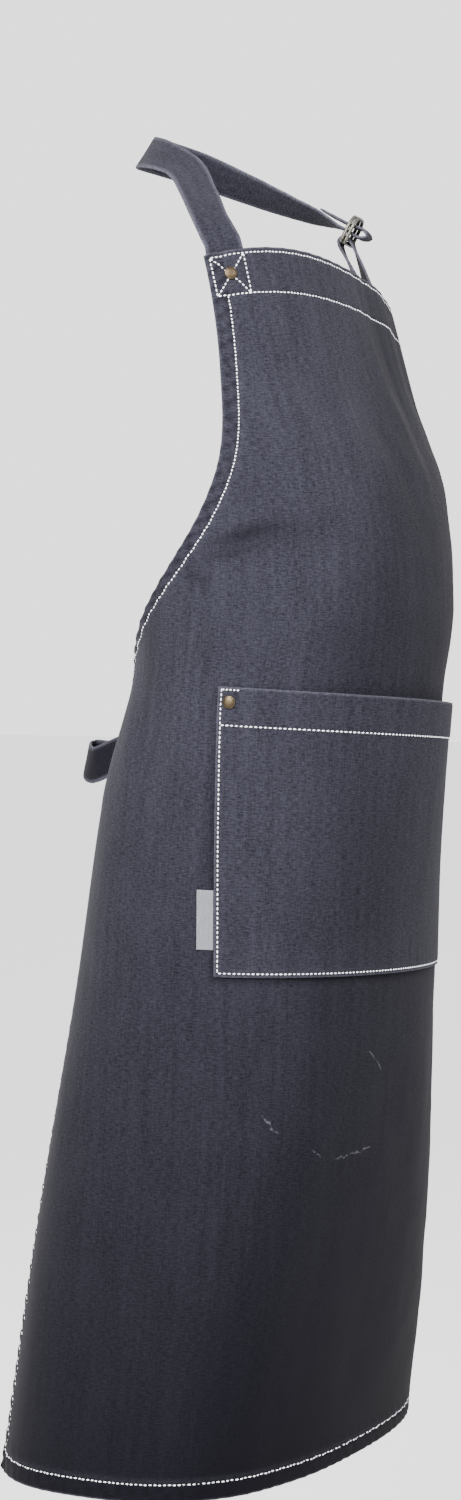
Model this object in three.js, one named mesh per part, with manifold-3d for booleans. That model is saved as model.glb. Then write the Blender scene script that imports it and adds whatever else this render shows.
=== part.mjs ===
// Bib apron in washed cotton, as it hangs when worn.
// Millimetres, +Z up, wearer facing -Y, wearer's left at +X.
// The origin is the inside of the neck strap at the back of the neck.

import * as THREE from 'three';
import { mergeVertices } from 'three/addons/utils/BufferGeometryUtils.js';
import Module from 'manifold-3d';

const wasm = await Module();
wasm.setup();

// Flat pattern of the panel
const PANEL_LENGTH = 820;
const SKIRT_WIDTH = 664;
const BIB_WIDTH = 266;
const SIDE_CORNER_DOWN = 337;
const ARMHOLE_POWER = 2.45;
const SIDE_HEM = 14;
const BOTTOM_HEM = 13;
const TOP_BAND = 31;

// Cloth and clearances
const CLOTH = 1.2;
const HEM_CLOTH = 2.2;
const WEBBING = 1.8;
const GAP = 0.3;
// Extra room behind a curved wall, whose flat facets stand inside its true curve
const FACET_ROOM = 0.5;

// The body that the cloth hangs round
const WRAP_HALF_WIDTH = 160;
const WRAP_HALF_DEPTH = 120;
const BODY_AXIS_FORWARD = 95;
const BIB_TOP_DROP = 89;

// Level sections of the wrap from the bib top (down 0) to the bottom hem (down 1).
// down: share of PANEL_LENGTH; side: share of WRAP_HALF_WIDTH;
// front, back, lead: shares of WRAP_HALF_DEPTH; square: 2 is an ellipse.
const SECTIONS = [
  { down: 0.0, side: 0.80, front: 0.60, back: 0.6, lead: -0.16, square: 2.6 },
  { down: 0.1, side: 0.84, front: 0.68, back: 0.7, lead: -0.05, square: 2.3 },
  { down: 0.195, side: 0.88, front: 0.83, back: 0.8, lead: 0.04, square: 2.1 },
  { down: 0.29, side: 0.86, front: 0.88, back: 0.85, lead: 0.08, square: 2.0 },
  { down: 0.37, side: 0.77, front: 0.84, back: 0.84, lead: 0.07, square: 2.0 },
  { down: 0.47, side: 0.84, front: 0.91, back: 0.91, lead: -0.04, square: 2.0 },
  { down: 0.64, side: 0.94, front: 0.98, back: 0.94, lead: -0.145, square: 2.0 },
  { down: 0.82, side: 0.99, front: 1.0, back: 1.0, lead: -0.23, square: 2.2 },
  { down: 1.0, side: 1.01, front: 0.97, back: 1.0, lead: -0.31, square: 2.5 },
];

// How the cloth hangs on those sections.
// swing: shift to the wearer's left, as a share of WRAP_HALF_WIDTH; dip, droop: how much lower
// the left edge hangs than the middle, and how much lower both edges hang, as shares of
// PANEL_LENGTH.
const HANG = [
  { down: 0.0, swing: 0.0, dip: 0.0235, droop: 0.0275 },
  { down: 0.1, swing: 0.0, dip: 0.0095, droop: 0.0115 },
  { down: 0.195, swing: 0.0, dip: 0.004, droop: 0.003 },
  { down: 0.29, swing: 0.0, dip: 0.01, droop: 0.0 },
  { down: 0.37, swing: 0.0, dip: 0.02, droop: 0.0 },
  { down: 0.47, swing: -0.01, dip: 0.018, droop: 0.0 },
  { down: 0.64, swing: -0.03, dip: 0.01, droop: 0.0 },
  { down: 0.82, swing: -0.1, dip: 0.0, droop: 0.0 },
  { down: 1.0, swing: -0.2, dip: -0.012, droop: 0.0 },
];
const DROOP_POWER = 2.5;

// Soft dents and waves pressed into the panel along its normal.
// down, across: where it lies, as shares of PANEL_LENGTH and half SKIRT_WIDTH;
// long, wide, rise: its reach and height, as shares of PANEL_LENGTH; turn: degrees from level.
const FOLDS = [
  { down: 0.235, across: -0.44, long: 0.05, wide: 0.02, turn: -14, rise: -0.0027 },
  { down: 0.265, across: -0.42, long: 0.04, wide: 0.018, turn: -10, rise: -0.0017 },
  { down: 0.47, across: -0.8, long: 0.12, wide: 0.03, turn: 78, rise: 0.0022 },
  { down: 0.8, across: -0.86, long: 0.2, wide: 0.04, turn: 86, rise: 0.0037 },
  { down: 0.84, across: -0.6, long: 0.2, wide: 0.045, turn: 88, rise: -0.0029 },
  { down: 0.86, across: 0.3, long: 0.18, wide: 0.05, turn: 90, rise: 0.0029 },
  { down: 0.85, across: 0.72, long: 0.2, wide: 0.045, turn: 93, rise: -0.0032 },
];

// Patch pocket
const POCKET_WIDTH = 316;
const POCKET_HEIGHT = 186;
const POCKET_DOWN = 305;
const POCKET_BAND = 25;
const POCKET_BAND_CLOTH = 2.0;
const POCKET_SEAM = 4;
const POCKET_GAPE = 6.7;
const SEAM_GAP = 0.7;

// Side label
const LABEL_WIDTH = 11;
const LABEL_HEIGHT = 38;
const LABEL_CLOTH = 1.0;
const LABEL_UP = 17;

// Straps
const STRAP_WIDTH = 26;
const STRAP_INSET = 2;
const NECK_HALF_WIDTH = 75;
const NECK_DEPTH = 95;
const TAIL_LENGTH = 26;

// Route of the neck strap from the right corner of the bib to the rings.
// side: share of NECK_HALF_WIDTH; forward: share of NECK_DEPTH from the back of the neck;
// rise: share of BIB_TOP_DROP above the bib top; face: degrees that the strap's face
// turns round the neck from straight back; lean: degrees that it leans outwards.
const NECK_ROUTE = [
  { side: -1.44, forward: 1.12, rise: 0.27, face: 55, lean: 78 },
  { side: -1.22, forward: 0.91, rise: 0.51, face: 76, lean: 64 },
  { side: -0.98, forward: 0.67, rise: 0.74, face: 84, lean: 53 },
  { side: -0.80, forward: 0.36, rise: 0.89, face: 72, lean: 42 },
  { side: -0.45, forward: 0.07, rise: 0.98, face: 36, lean: 32 },
  { side: 0.0, forward: 0.0, rise: 1.0, face: 0, lean: 30 },
  { side: 0.45, forward: 0.10, rise: 0.95, face: -36, lean: 34 },
  { side: 0.80, forward: 0.44, rise: 0.77, face: -72, lean: 46 },
  { side: 1.0, forward: 0.83, rise: 0.58, face: -86, lean: 64 },
];

// Rings
const RING_WIRE = 2.6;
const RING_INNER_HEIGHT = 17;
const RING_SIDE_CLEARANCE = 1.8;
const RING_BEVEL = 0.8;
const RING_SIDE = 1.16;
const RING_FORWARD = 1.09;
const RING_RISE = 0.455;
const RING_HEADING = 22;
const RING_FALL = 28;
const RING_TILT = 8;
const STRAP_FOLD_REACH = 13;
// Where the ring strap's second layer runs back, as shares of the way from the bars to the bib
const RING_STRAP_RETURN = [0.3, 0.65, 0.94];

// Waist ties
const TIE_WIDTH = 26;
const TIE_SEWN = 20;
const TIE_BELOW_CORNER = 3;
const TIE_STANDOFF = 56;
const TIE_FLARE = 0.25;
const KNOT_SIDE = 0.75;
const KNOT_NEAR = 0.2;
const KNOT_RISE = 4;
const KNOT_GRIP = 6;
const KNOT_HEIGHT_SHARE = 0.9;
const KNOT_LENGTH = 34;
const KNOT_THICKNESS = 12;

// Rivets
const RIVET_RADIUS = 4.4;
const RIVET_DOME = 1.5;
const RIVET_RIM = 0.6;
const SHANK_RADIUS = 1.4;
const SHANK_CLEARANCE = 0.4;
const RIVET_BACK_RADIUS = 3.8;
const RIVET_BACK = 0.9;
const RIVET_ROOM = 3 * FACET_ROOM;
const RIVET_INSET = 8;
const RIVET_POCKET_DOWN = 10;

// Mesh fineness
const PANEL_ROWS = 34;
const PANEL_COLUMNS = 28;
const POCKET_ROWS = 11;
const POCKET_COLUMNS = 24;
const STRAP_COLUMNS = 3;
const SECTION_STEPS = 80;
const RIVET_SIDES = 12;

const degrees = (value) => (value * Math.PI) / 180;
const mix = (a, b, t) => a + (b - a) * t;
const smooth = (t) => {
  const s = Math.min(1, Math.max(0, t));
  return s * s * (3 - 2 * s);
};

// Reads one column of a table at a share of its length, as a smooth curve through its rows.
function tableValue(table, key, share) {
  const last = table.length - 1;
  let row = 0;
  while (row < last - 1 && table[row + 1].down < share) {
    row += 1;
  }
  const slope = (i) => {
    const a = table[Math.max(0, i - 1)];
    const b = table[Math.min(last, i + 1)];
    return (b[key] - a[key]) / (b.down - a.down);
  };
  const from = table[row];
  const to = table[row + 1];
  const step = to.down - from.down;
  const t = Math.min(1, Math.max(0, (share - from.down) / step));
  const t2 = t * t;
  const t3 = t2 * t;
  return (2 * t3 - 3 * t2 + 1) * from[key]
    + (t3 - 2 * t2 + t) * step * slope(row)
    + (3 * t2 - 2 * t3) * to[key]
    + (t3 - t2) * step * slope(row + 1);
}

// Half width of the flat pattern at a distance down from the bib top.
function halfWidth(down) {
  const t = Math.min(1, Math.max(0, down / SIDE_CORNER_DOWN));
  return mix(BIB_WIDTH / 2, SKIRT_WIDTH / 2, t ** ARMHOLE_POWER);
}

// How far the section's centre front stands before the body axis.
function frontLead(share) {
  const lead = tableValue(SECTIONS, 'lead', share);
  return WRAP_HALF_DEPTH * (lead + tableValue(SECTIONS, 'front', share));
}

// Height of each level, so that the cloth's own length runs down its centre front.
const HEIGHT_STEPS = 100;
const heights = [-BIB_TOP_DROP];
for (let i = 1; i <= HEIGHT_STEPS; i += 1) {
  const run = PANEL_LENGTH / HEIGHT_STEPS;
  const lean = frontLead(i / HEIGHT_STEPS) - frontLead((i - 1) / HEIGHT_STEPS);
  heights.push(heights[i - 1] - Math.sqrt(Math.max(run * run - lean * lean, 0)));
}

function heightAt(down) {
  const at = Math.max(0, (down / PANEL_LENGTH) * HEIGHT_STEPS);
  const row = Math.min(HEIGHT_STEPS - 1, Math.floor(at));
  return mix(heights[row], heights[row + 1], Math.min(1, at - row));
}

// One side of a level section, from the centre front to the centre back, with its running length.
const sectionCache = new Map();
function sectionAt(down) {
  const key = down.toFixed(4);
  if (sectionCache.has(key)) {
    return sectionCache.get(key);
  }
  const share = Math.min(1, Math.max(0, down / PANEL_LENGTH));
  const side = WRAP_HALF_WIDTH * tableValue(SECTIONS, 'side', share);
  const front = WRAP_HALF_DEPTH * tableValue(SECTIONS, 'front', share);
  const back = WRAP_HALF_DEPTH * tableValue(SECTIONS, 'back', share);
  const power = 2 / tableValue(SECTIONS, 'square', share);
  const points = [];
  let length = 0;
  for (let i = 0; i <= SECTION_STEPS; i += 1) {
    const angle = (Math.PI * i) / SECTION_STEPS;
    const depth = Math.cos(angle) >= 0 ? front : back;
    const x = side * Math.abs(Math.sin(angle)) ** power;
    const forward = depth * Math.sign(Math.cos(angle)) * Math.abs(Math.cos(angle)) ** power;
    if (i > 0) {
      length += Math.hypot(x - points[i - 1].x, forward - points[i - 1].forward);
    }
    points.push({ x, forward, length });
  }
  const section = {
    points,
    centreX: WRAP_HALF_WIDTH * tableValue(HANG, 'swing', share),
    centreForward: WRAP_HALF_DEPTH * tableValue(SECTIONS, 'lead', share),
    z: heightAt(down),
    dip: PANEL_LENGTH * tableValue(HANG, 'dip', share),
    droop: PANEL_LENGTH * tableValue(HANG, 'droop', share),
  };
  sectionCache.set(key, section);
  return section;
}

// A point of the wrap, from the flat pattern's own across and down.
function wrapPoint(across, down) {
  const section = sectionAt(down);
  const reach = Math.abs(across);
  const { points } = section;
  let i = 1;
  while (i < points.length - 1 && points[i].length < reach) {
    i += 1;
  }
  const from = points[i - 1];
  const to = points[i];
  const t = (reach - from.length) / (to.length - from.length);
  const x = mix(from.x, to.x, t) * Math.sign(across);
  const forward = mix(from.forward, to.forward, t);
  const y = -(section.centreForward + forward) - BODY_AXIS_FORWARD;
  const edge = across / halfWidth(down);
  const z = section.z - section.dip * edge - section.droop * Math.abs(edge) ** DROOP_POWER;
  return new THREE.Vector3(section.centreX + x, y, z);
}

// Height of the folds over the wrap.
function foldRise(across, down) {
  let rise = 0;
  for (const fold of FOLDS) {
    const dx = across - fold.across * (SKIRT_WIDTH / 2);
    const dy = down - fold.down * PANEL_LENGTH;
    const turn = degrees(fold.turn);
    const along = (dx * Math.cos(turn) + dy * Math.sin(turn)) / (fold.long * PANEL_LENGTH);
    const over = (dy * Math.cos(turn) - dx * Math.sin(turn)) / (fold.wide * PANEL_LENGTH);
    rise += fold.rise * Math.exp(-along * along - over * over);
  }
  return rise * PANEL_LENGTH;
}

// Tangents and outward normal of the wrap.
const PROBE = 2;
function clothFrame(across, down) {
  const right = wrapPoint(across + PROBE, down).sub(wrapPoint(across - PROBE, down)).normalize();
  const top = Math.max(0, down - PROBE);
  const below = Math.min(PANEL_LENGTH, down + PROBE);
  const fall = wrapPoint(across, below).sub(wrapPoint(across, top)).normalize();
  const normal = fall.clone().cross(right).normalize();
  return { right, fall, normal };
}

// A point of the panel's outer face, raised by an offset along its normal.
function clothPoint(across, down, offset = 0) {
  const { normal } = clothFrame(across, down);
  return wrapPoint(across, down).addScaledVector(normal, offset + foldRise(across, down));
}

// A closed wall from two matching grids of points, the first facing out.
function wallGeometry(outer, inner) {
  const rows = outer.length;
  const columns = outer[0].length;
  const positions = [];
  for (const grid of [outer, inner]) {
    for (const row of grid) {
      for (const point of row) {
        positions.push(point.x, point.y, point.z);
      }
    }
  }
  const front = (i, j) => i * columns + j;
  const rear = (i, j) => rows * columns + i * columns + j;
  const index = [];
  const quad = (a, b, c, d) => index.push(a, b, c, a, c, d);
  for (let i = 0; i < rows - 1; i += 1) {
    for (let j = 0; j < columns - 1; j += 1) {
      quad(front(i, j), front(i + 1, j), front(i + 1, j + 1), front(i, j + 1));
      quad(rear(i, j), rear(i, j + 1), rear(i + 1, j + 1), rear(i + 1, j));
    }
  }
  for (let j = 0; j < columns - 1; j += 1) {
    quad(front(0, j), front(0, j + 1), rear(0, j + 1), rear(0, j));
    quad(front(rows - 1, j + 1), front(rows - 1, j), rear(rows - 1, j), rear(rows - 1, j + 1));
  }
  for (let i = 0; i < rows - 1; i += 1) {
    quad(front(i + 1, 0), front(i, 0), rear(i, 0), rear(i + 1, 0));
    quad(front(i, columns - 1), front(i + 1, columns - 1), rear(i + 1, columns - 1), rear(i, columns - 1));
  }
  const geometry = new THREE.BufferGeometry();
  geometry.setAttribute('position', new THREE.Float32BufferAttribute(positions, 3));
  geometry.setIndex(index);
  return geometry;
}

// Even stops from start to end, with extra stops kept in order.
function stops(start, end, count, extra = []) {
  const even = [];
  for (let i = 0; i <= count; i += 1) {
    even.push(mix(start, end, i / count));
  }
  const least = (0.35 * Math.abs(end - start)) / count;
  const kept = even.filter((value) => extra.every((stop) => Math.abs(stop - value) > least)
    || value === start || value === end);
  return [...kept, ...extra].sort((a, b) => a - b);
}

function toManifold(geometry) {
  const bare = geometry.clone();
  bare.deleteAttribute('normal');
  bare.deleteAttribute('uv');
  const merged = mergeVertices(bare);
  return new wasm.Manifold(new wasm.Mesh({
    numProp: 3,
    vertProperties: new Float32Array(merged.attributes.position.array),
    triVerts: new Uint32Array(merged.index.array),
  }));
}

function fromManifold(solid) {
  const mesh = solid.getMesh();
  const geometry = new THREE.BufferGeometry();
  geometry.setAttribute('position', new THREE.BufferAttribute(mesh.vertProperties, 3));
  geometry.setIndex(new THREE.BufferAttribute(mesh.triVerts, 1));
  return geometry;
}

// Places a shape made along +Z on the cloth, its +Z along the cloth's normal.
function seatOnCloth(geometry, across, down) {
  const { right, normal } = clothFrame(across, down);
  const up = normal.clone().cross(right);
  const place = new THREE.Matrix4().makeBasis(right, up, normal);
  place.setPosition(clothPoint(across, down));
  return geometry.applyMatrix4(place);
}

// The places of the four rivets, and the layers each goes through.
const strapAcross = BIB_WIDTH / 2 - STRAP_INSET - STRAP_WIDTH / 2;
const bibStack = HEM_CLOTH + GAP + WEBBING + FACET_ROOM;
const pocketFace = SEAM_GAP + POCKET_BAND_CLOTH;
const RIVETS = [
  { name: 'rivet_bib_right', across: -strapAcross, down: TOP_BAND / 2, face: 0, depth: bibStack },
  { name: 'rivet_bib_left', across: strapAcross, down: TOP_BAND / 2, face: 0, depth: bibStack },
  {
    name: 'rivet_pocket_right',
    across: -(POCKET_WIDTH / 2 - RIVET_INSET),
    down: POCKET_DOWN + RIVET_POCKET_DOWN,
    face: pocketFace,
    depth: CLOTH + RIVET_ROOM,
  },
  {
    name: 'rivet_pocket_left',
    across: POCKET_WIDTH / 2 - RIVET_INSET,
    down: POCKET_DOWN + RIVET_POCKET_DOWN,
    face: pocketFace,
    depth: CLOTH + RIVET_ROOM,
  },
];

function rivetGeometry(rivet) {
  const seat = rivet.face + GAP;
  const backTop = -rivet.depth - GAP;
  const profile = [
    new THREE.Vector2(0, backTop - RIVET_BACK),
    new THREE.Vector2(RIVET_BACK_RADIUS, backTop - RIVET_BACK),
    new THREE.Vector2(RIVET_BACK_RADIUS, backTop),
    new THREE.Vector2(SHANK_RADIUS, backTop),
    new THREE.Vector2(SHANK_RADIUS, seat),
    new THREE.Vector2(RIVET_RADIUS, seat),
    new THREE.Vector2(RIVET_RADIUS, seat + RIVET_RIM),
    new THREE.Vector2(RIVET_RADIUS * 0.7, seat + mix(RIVET_RIM, RIVET_DOME, 0.65)),
    new THREE.Vector2(0, seat + RIVET_DOME),
  ];
  const lathe = new THREE.LatheGeometry(profile, RIVET_SIDES).rotateX(Math.PI / 2);
  return seatOnCloth(lathe, rivet.across, rivet.down);
}

function withRivetHoles(geometry, rivets) {
  let solid = toManifold(geometry);
  for (const rivet of rivets) {
    const length = 4 * (rivet.face + rivet.depth);
    const drill = new THREE.CylinderGeometry(
      SHANK_RADIUS + SHANK_CLEARANCE, SHANK_RADIUS + SHANK_CLEARANCE, length, RIVET_SIDES,
    );
    drill.rotateX(Math.PI / 2);
    solid = solid.subtract(toManifold(seatOnCloth(drill, rivet.across, rivet.down)));
  }
  return fromManifold(solid);
}

// The panel: bib and skirt in one cloth, doubled inwards along its hems.
const HEM_STEP = 1.5;
function panelThickness(across, down) {
  const toSide = halfWidth(down) - Math.abs(across);
  const toBottom = PANEL_LENGTH - down;
  const inside = Math.min(toSide - SIDE_HEM, toBottom - BOTTOM_HEM, down - TOP_BAND);
  return mix(HEM_CLOTH, CLOTH, smooth(inside / HEM_STEP));
}

function panelGeometry() {
  const rows = stops(0, PANEL_LENGTH, PANEL_ROWS, [
    TOP_BAND, TOP_BAND + HEM_STEP,
    POCKET_DOWN, SIDE_CORNER_DOWN,
    PANEL_LENGTH - BOTTOM_HEM - HEM_STEP, PANEL_LENGTH - BOTTOM_HEM,
  ]);
  const outer = [];
  const inner = [];
  for (const down of rows) {
    const half = halfWidth(down);
    const hem = half - SIDE_HEM;
    const middles = stops(-hem, hem, PANEL_COLUMNS, [-hem + HEM_STEP, hem - HEM_STEP]);
    const fold = hem + SIDE_HEM / 2;
    const columns = [-half, -fold, ...middles, fold, half];
    outer.push(columns.map((across) => clothPoint(across, down)));
    inner.push(columns.map((across) => clothPoint(across, down, -panelThickness(across, down))));
  }
  return withRivetHoles(wallGeometry(outer, inner), RIVETS);
}

// The pocket stands off the panel a little along its mouth and is sewn down at its other edges.
function pocketLift(across, down) {
  const toSide = (POCKET_WIDTH / 2 - Math.abs(across) - RIVET_INSET * 2) / (POCKET_WIDTH / 2);
  const toBottom = (POCKET_DOWN + POCKET_HEIGHT - down - POCKET_SEAM) / POCKET_HEIGHT;
  return SEAM_GAP + POCKET_GAPE * smooth(toSide * 1.3) * smooth(toBottom);
}

function pocketThickness(down) {
  const inside = down - POCKET_DOWN - POCKET_BAND;
  return mix(POCKET_BAND_CLOTH, CLOTH, smooth(inside / HEM_STEP));
}

function pocketGeometry() {
  const bottom = POCKET_DOWN + POCKET_HEIGHT;
  const band = POCKET_DOWN + POCKET_BAND;
  const rows = stops(POCKET_DOWN, bottom, POCKET_ROWS, [band, band + HEM_STEP]);
  const columns = stops(-POCKET_WIDTH / 2, POCKET_WIDTH / 2, POCKET_COLUMNS);
  const lifted = (across, down, extra) => clothPoint(across, down, pocketLift(across, down) + extra);
  const outer = rows.map((down) => columns.map((across) => lifted(across, down, pocketThickness(down))));
  const inner = rows.map((down) => columns.map((across) => lifted(across, down, 0)));
  return withRivetHoles(wallGeometry(outer, inner), RIVETS.slice(2));
}

function labelGeometry() {
  const bottom = POCKET_DOWN + POCKET_HEIGHT - LABEL_UP;
  const right = -POCKET_WIDTH / 2 - GAP;
  const rows = stops(bottom - LABEL_HEIGHT, bottom, 3);
  const columns = stops(right - LABEL_WIDTH, right, 2);
  const layer = (offset) => rows.map((down) => columns.map((across) => clothPoint(across, down, offset)));
  return wallGeometry(layer(GAP + LABEL_CLOTH), layer(GAP));
}

// A flat band: rows already laid on the cloth, then free stations, each with its centre,
// its direction across and its outward face.
function bandGeometry(laidRows, stations, width, thickness) {
  const outer = laidRows.map((row) => row.outer);
  const inner = laidRows.map((row) => row.inner);
  for (const station of stations) {
    const outerRow = [];
    const innerRow = [];
    for (const reach of stops(-width / 2, width / 2, STRAP_COLUMNS)) {
      const middle = station.centre.clone().addScaledVector(station.across, reach);
      outerRow.push(middle.clone().addScaledVector(station.face, thickness / 2));
      innerRow.push(middle.clone().addScaledVector(station.face, -thickness / 2));
    }
    outer.push(outerRow);
    inner.push(innerRow);
  }
  return wallGeometry(outer, inner);
}

// Smooth stations through a few: their centres on a spline, their faces turned between them.
function smoothStations(keys, steps) {
  const route = new THREE.CatmullRomCurve3(keys.map((key) => key.centre), false, 'centripetal');
  const stations = [];
  const count = (keys.length - 1) * steps;
  for (let i = 0; i <= count; i += 1) {
    const t = i / count;
    const row = Math.min(keys.length - 2, Math.floor(i / steps));
    const part = i / steps - row;
    const tangent = route.getTangent(t);
    const across = keys[row].across.clone().lerp(keys[row + 1].across, part);
    across.addScaledVector(tangent, -across.dot(tangent)).normalize();
    const face = tangent.clone().cross(across).normalize();
    stations.push({ centre: route.getPoint(t), across, face });
  }
  return stations;
}

// Rows of a strap end sewn behind the bib's band, from its lower end up to the bib top.
const SEWN_MARGIN = 3;
const SEWN_ROWS = [TOP_BAND - SEWN_MARGIN, TOP_BAND / 2, GAP];
function sewnRows(across) {
  const face = -(HEM_CLOTH + GAP + FACET_ROOM / 2);
  const reaches = stops(-STRAP_WIDTH / 2, STRAP_WIDTH / 2, STRAP_COLUMNS);
  return SEWN_ROWS.map((down) => ({
    outer: reaches.map((reach) => clothPoint(across + reach, down, face - WEBBING)),
    inner: reaches.map((reach) => clothPoint(across + reach, down, face)),
  }));
}

// Where a sewn strap end leaves the bib top, a little above it.
const STRAP_LEAVES = 7;
function leavingKey(across) {
  const { right, fall } = clothFrame(across, 0);
  const behind = -(HEM_CLOTH + GAP + WEBBING / 2);
  const centre = clothPoint(across, 0, behind).addScaledVector(fall, -STRAP_LEAVES);
  return { centre, across: right };
}

// The rings' own frame: travel goes through them, across along their bar, up away from the body.
const ringCentre = new THREE.Vector3(
  RING_SIDE * NECK_HALF_WIDTH,
  -RING_FORWARD * NECK_DEPTH,
  (RING_RISE - 1) * BIB_TOP_DROP,
);
const ringTravel = new THREE.Vector3(
  Math.sin(degrees(RING_HEADING)) * Math.cos(degrees(RING_FALL)),
  -Math.cos(degrees(RING_HEADING)) * Math.cos(degrees(RING_FALL)),
  -Math.sin(degrees(RING_FALL)),
);
const ringAcross = new THREE.Vector3(Math.cos(degrees(RING_TILT)), 0, -Math.sin(degrees(RING_TILT)));
ringAcross.addScaledVector(ringTravel, -ringAcross.dot(ringTravel)).normalize();
const ringUp = ringTravel.clone().cross(ringAcross).normalize();

function ringPoint(travel, up) {
  return ringCentre.clone().addScaledVector(ringTravel, travel).addScaledVector(ringUp, up);
}

const ringSpacing = RING_WIRE + GAP;

function ringGeometry(travel) {
  const halfInner = STRAP_WIDTH / 2 + RING_SIDE_CLEARANCE;
  const outline = (grow) => {
    const half = halfInner + grow;
    const low = -RING_INNER_HEIGHT / 2 - grow;
    const high = RING_INNER_HEIGHT / 2 + grow;
    const round = (high - low) * 0.45;
    const shape = new THREE.Shape();
    shape.moveTo(-half, low);
    shape.lineTo(half, low);
    shape.lineTo(half, high - round);
    shape.quadraticCurveTo(half, high, half - round, high);
    shape.lineTo(-half + round, high);
    shape.quadraticCurveTo(-half, high, -half, high - round);
    shape.closePath();
    return shape;
  };
  const body = outline(RING_WIRE - RING_BEVEL);
  body.holes.push(new THREE.Path(outline(RING_BEVEL).getPoints(4).reverse()));
  const ring = new THREE.ExtrudeGeometry(body, {
    depth: RING_WIRE - 2 * RING_BEVEL,
    bevelEnabled: true,
    bevelThickness: RING_BEVEL,
    bevelSize: RING_BEVEL,
    bevelSegments: 1,
    curveSegments: 4,
  });
  ring.translate(0, 0, RING_BEVEL - RING_WIRE / 2);
  const place = new THREE.Matrix4().makeBasis(ringAcross, ringUp, ringTravel);
  place.setPosition(ringPoint(travel, 0));
  return ring.applyMatrix4(place);
}

// The neck strap, from behind the bib, round the neck, through both rings and back over itself.
function neckStrapGeometry() {
  const round = NECK_ROUTE.map((row) => {
    const turn = degrees(row.face);
    const lean = degrees(row.lean);
    const out = new THREE.Vector3(-Math.sin(turn), Math.cos(turn), 0);
    return {
      centre: new THREE.Vector3(
        row.side * NECK_HALF_WIDTH,
        -row.forward * NECK_DEPTH,
        (row.rise - 1) * BIB_TOP_DROP,
      ).addScaledVector(out, WEBBING / 2),
      across: out.clone().multiplyScalar(-Math.sin(lean)).setZ(Math.cos(lean)),
    };
  });
  const lap = WEBBING + GAP;
  const inwards = ringAcross.clone().negate();
  const keys = (list) => list.map(([travel, up]) => ({ centre: ringPoint(travel, up), across: inwards }));
  const fold = keys([
    [-9, -0.6 * lap], [0, -0.8 * lap], [0.62 * STRAP_FOLD_REACH, -0.9 * lap],
    [STRAP_FOLD_REACH, 0.6 * lap], [0.62 * STRAP_FOLD_REACH, 2.0 * lap],
    [0, 1.7 * lap], [-9, 1.5 * lap], [-TAIL_LENGTH, 1.7 * lap],
  ]);
  const stations = smoothStations([leavingKey(-strapAcross), ...round, ...fold], 5);
  const strap = bandGeometry(sewnRows(-strapAcross), stations, STRAP_WIDTH, WEBBING);
  return withRivetHoles(strap, [RIVETS[0]]);
}

// The ring strap, from behind the bib's left corner up in front of both bars, over them and
// down again behind its own first layer.
const LOOP_STEPS = 6;
const LOOP_ROOM = 1.2 * RING_WIRE;
function ringStrapGeometry() {
  const leaving = leavingKey(strapAcross);
  const bar = ringPoint(0, -(RING_INNER_HEIGHT + RING_WIRE) / 2);
  const hang = leaving.centre.clone().sub(bar);
  hang.addScaledVector(ringAcross, -hang.dot(ringAcross)).normalize();
  const behind = ringAcross.clone().cross(hang).normalize();
  const radius = (ringSpacing + LOOP_ROOM + WEBBING) / 2 + GAP;
  const place = (back, fall) => bar.clone().addScaledVector(behind, back).addScaledVector(hang, fall);
  const keys = [leaving];
  for (let i = 0; i <= LOOP_STEPS; i += 1) {
    const angle = (Math.PI * i) / LOOP_STEPS;
    const centre = place(-radius * Math.cos(angle), -radius * Math.sin(angle));
    keys.push({ centre, across: ringAcross });
  }
  const laid = leaving.across.clone().cross(hang).normalize();
  for (const share of RING_STRAP_RETURN) {
    const apart = mix(radius, WEBBING + 2 * GAP, share);
    keys.push({
      centre: bar.clone().lerp(leaving.centre, share)
        .addScaledVector(behind, apart * (1 - share))
        .addScaledVector(laid, apart * share),
      across: ringAcross.clone().lerp(leaving.across, share).normalize(),
    });
  }
  const stations = smoothStations(keys, 3);
  const strap = bandGeometry(sewnRows(strapAcross), stations, STRAP_WIDTH, WEBBING);
  return withRivetHoles(strap, [RIVETS[1]]);
}

// The waist ties, sewn inside the side hems and carried round the back to a plain knot.
const tieDown = SIDE_CORNER_DOWN + TIE_WIDTH / 2 + TIE_BELOW_CORNER;
const tieFace = -(HEM_CLOTH + GAP + FACET_ROOM);
function tieRows(sign) {
  const reaches = stops(-TIE_WIDTH / 2, TIE_WIDTH / 2, STRAP_COLUMNS);
  const half = halfWidth(tieDown);
  return [-TIE_SEWN, -TIE_SEWN / 2, 0].map((beyond) => {
    const across = sign * (half + beyond);
    const row = (offset) => reaches.map((reach) => clothPoint(across, tieDown - reach, offset));
    const near = row(tieFace);
    const far = row(tieFace - WEBBING);
    return sign < 0 ? { outer: far, inner: near } : { outer: near, inner: far };
  });
}

function tieLeavingKey(sign) {
  const reach = sign * halfWidth(tieDown);
  const { right, fall } = clothFrame(reach, tieDown);
  const centre = clothPoint(reach, tieDown, tieFace - WEBBING / 2);
  centre.addScaledVector(right, sign * STRAP_LEAVES);
  return { centre, across: fall.clone().negate() };
}

const rightLeaves = tieLeavingKey(-1);
const leftLeaves = tieLeavingKey(1);
const tieTurn = new THREE.Vector3().addVectors(rightLeaves.centre, leftLeaves.centre).multiplyScalar(0.5);
tieTurn.y += TIE_STANDOFF;

const tieSpread = Math.abs(leftLeaves.centre.x - rightLeaves.centre.x) / 2;

// A place on the ties' way round the back. side: share of the way from the middle to a side hem;
// near: 1 at the hems and 0 at the farthest back; rise: share of KNOT_RISE above the hems' ends.
function tieRoute(side, near, rise) {
  const centre = new THREE.Vector3(side * tieSpread, -near * TIE_STANDOFF, rise * KNOT_RISE);
  centre.add(tieTurn);
  return { centre, across: new THREE.Vector3(0, TIE_FLARE * (near - 1), 1).normalize() };
}

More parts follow.
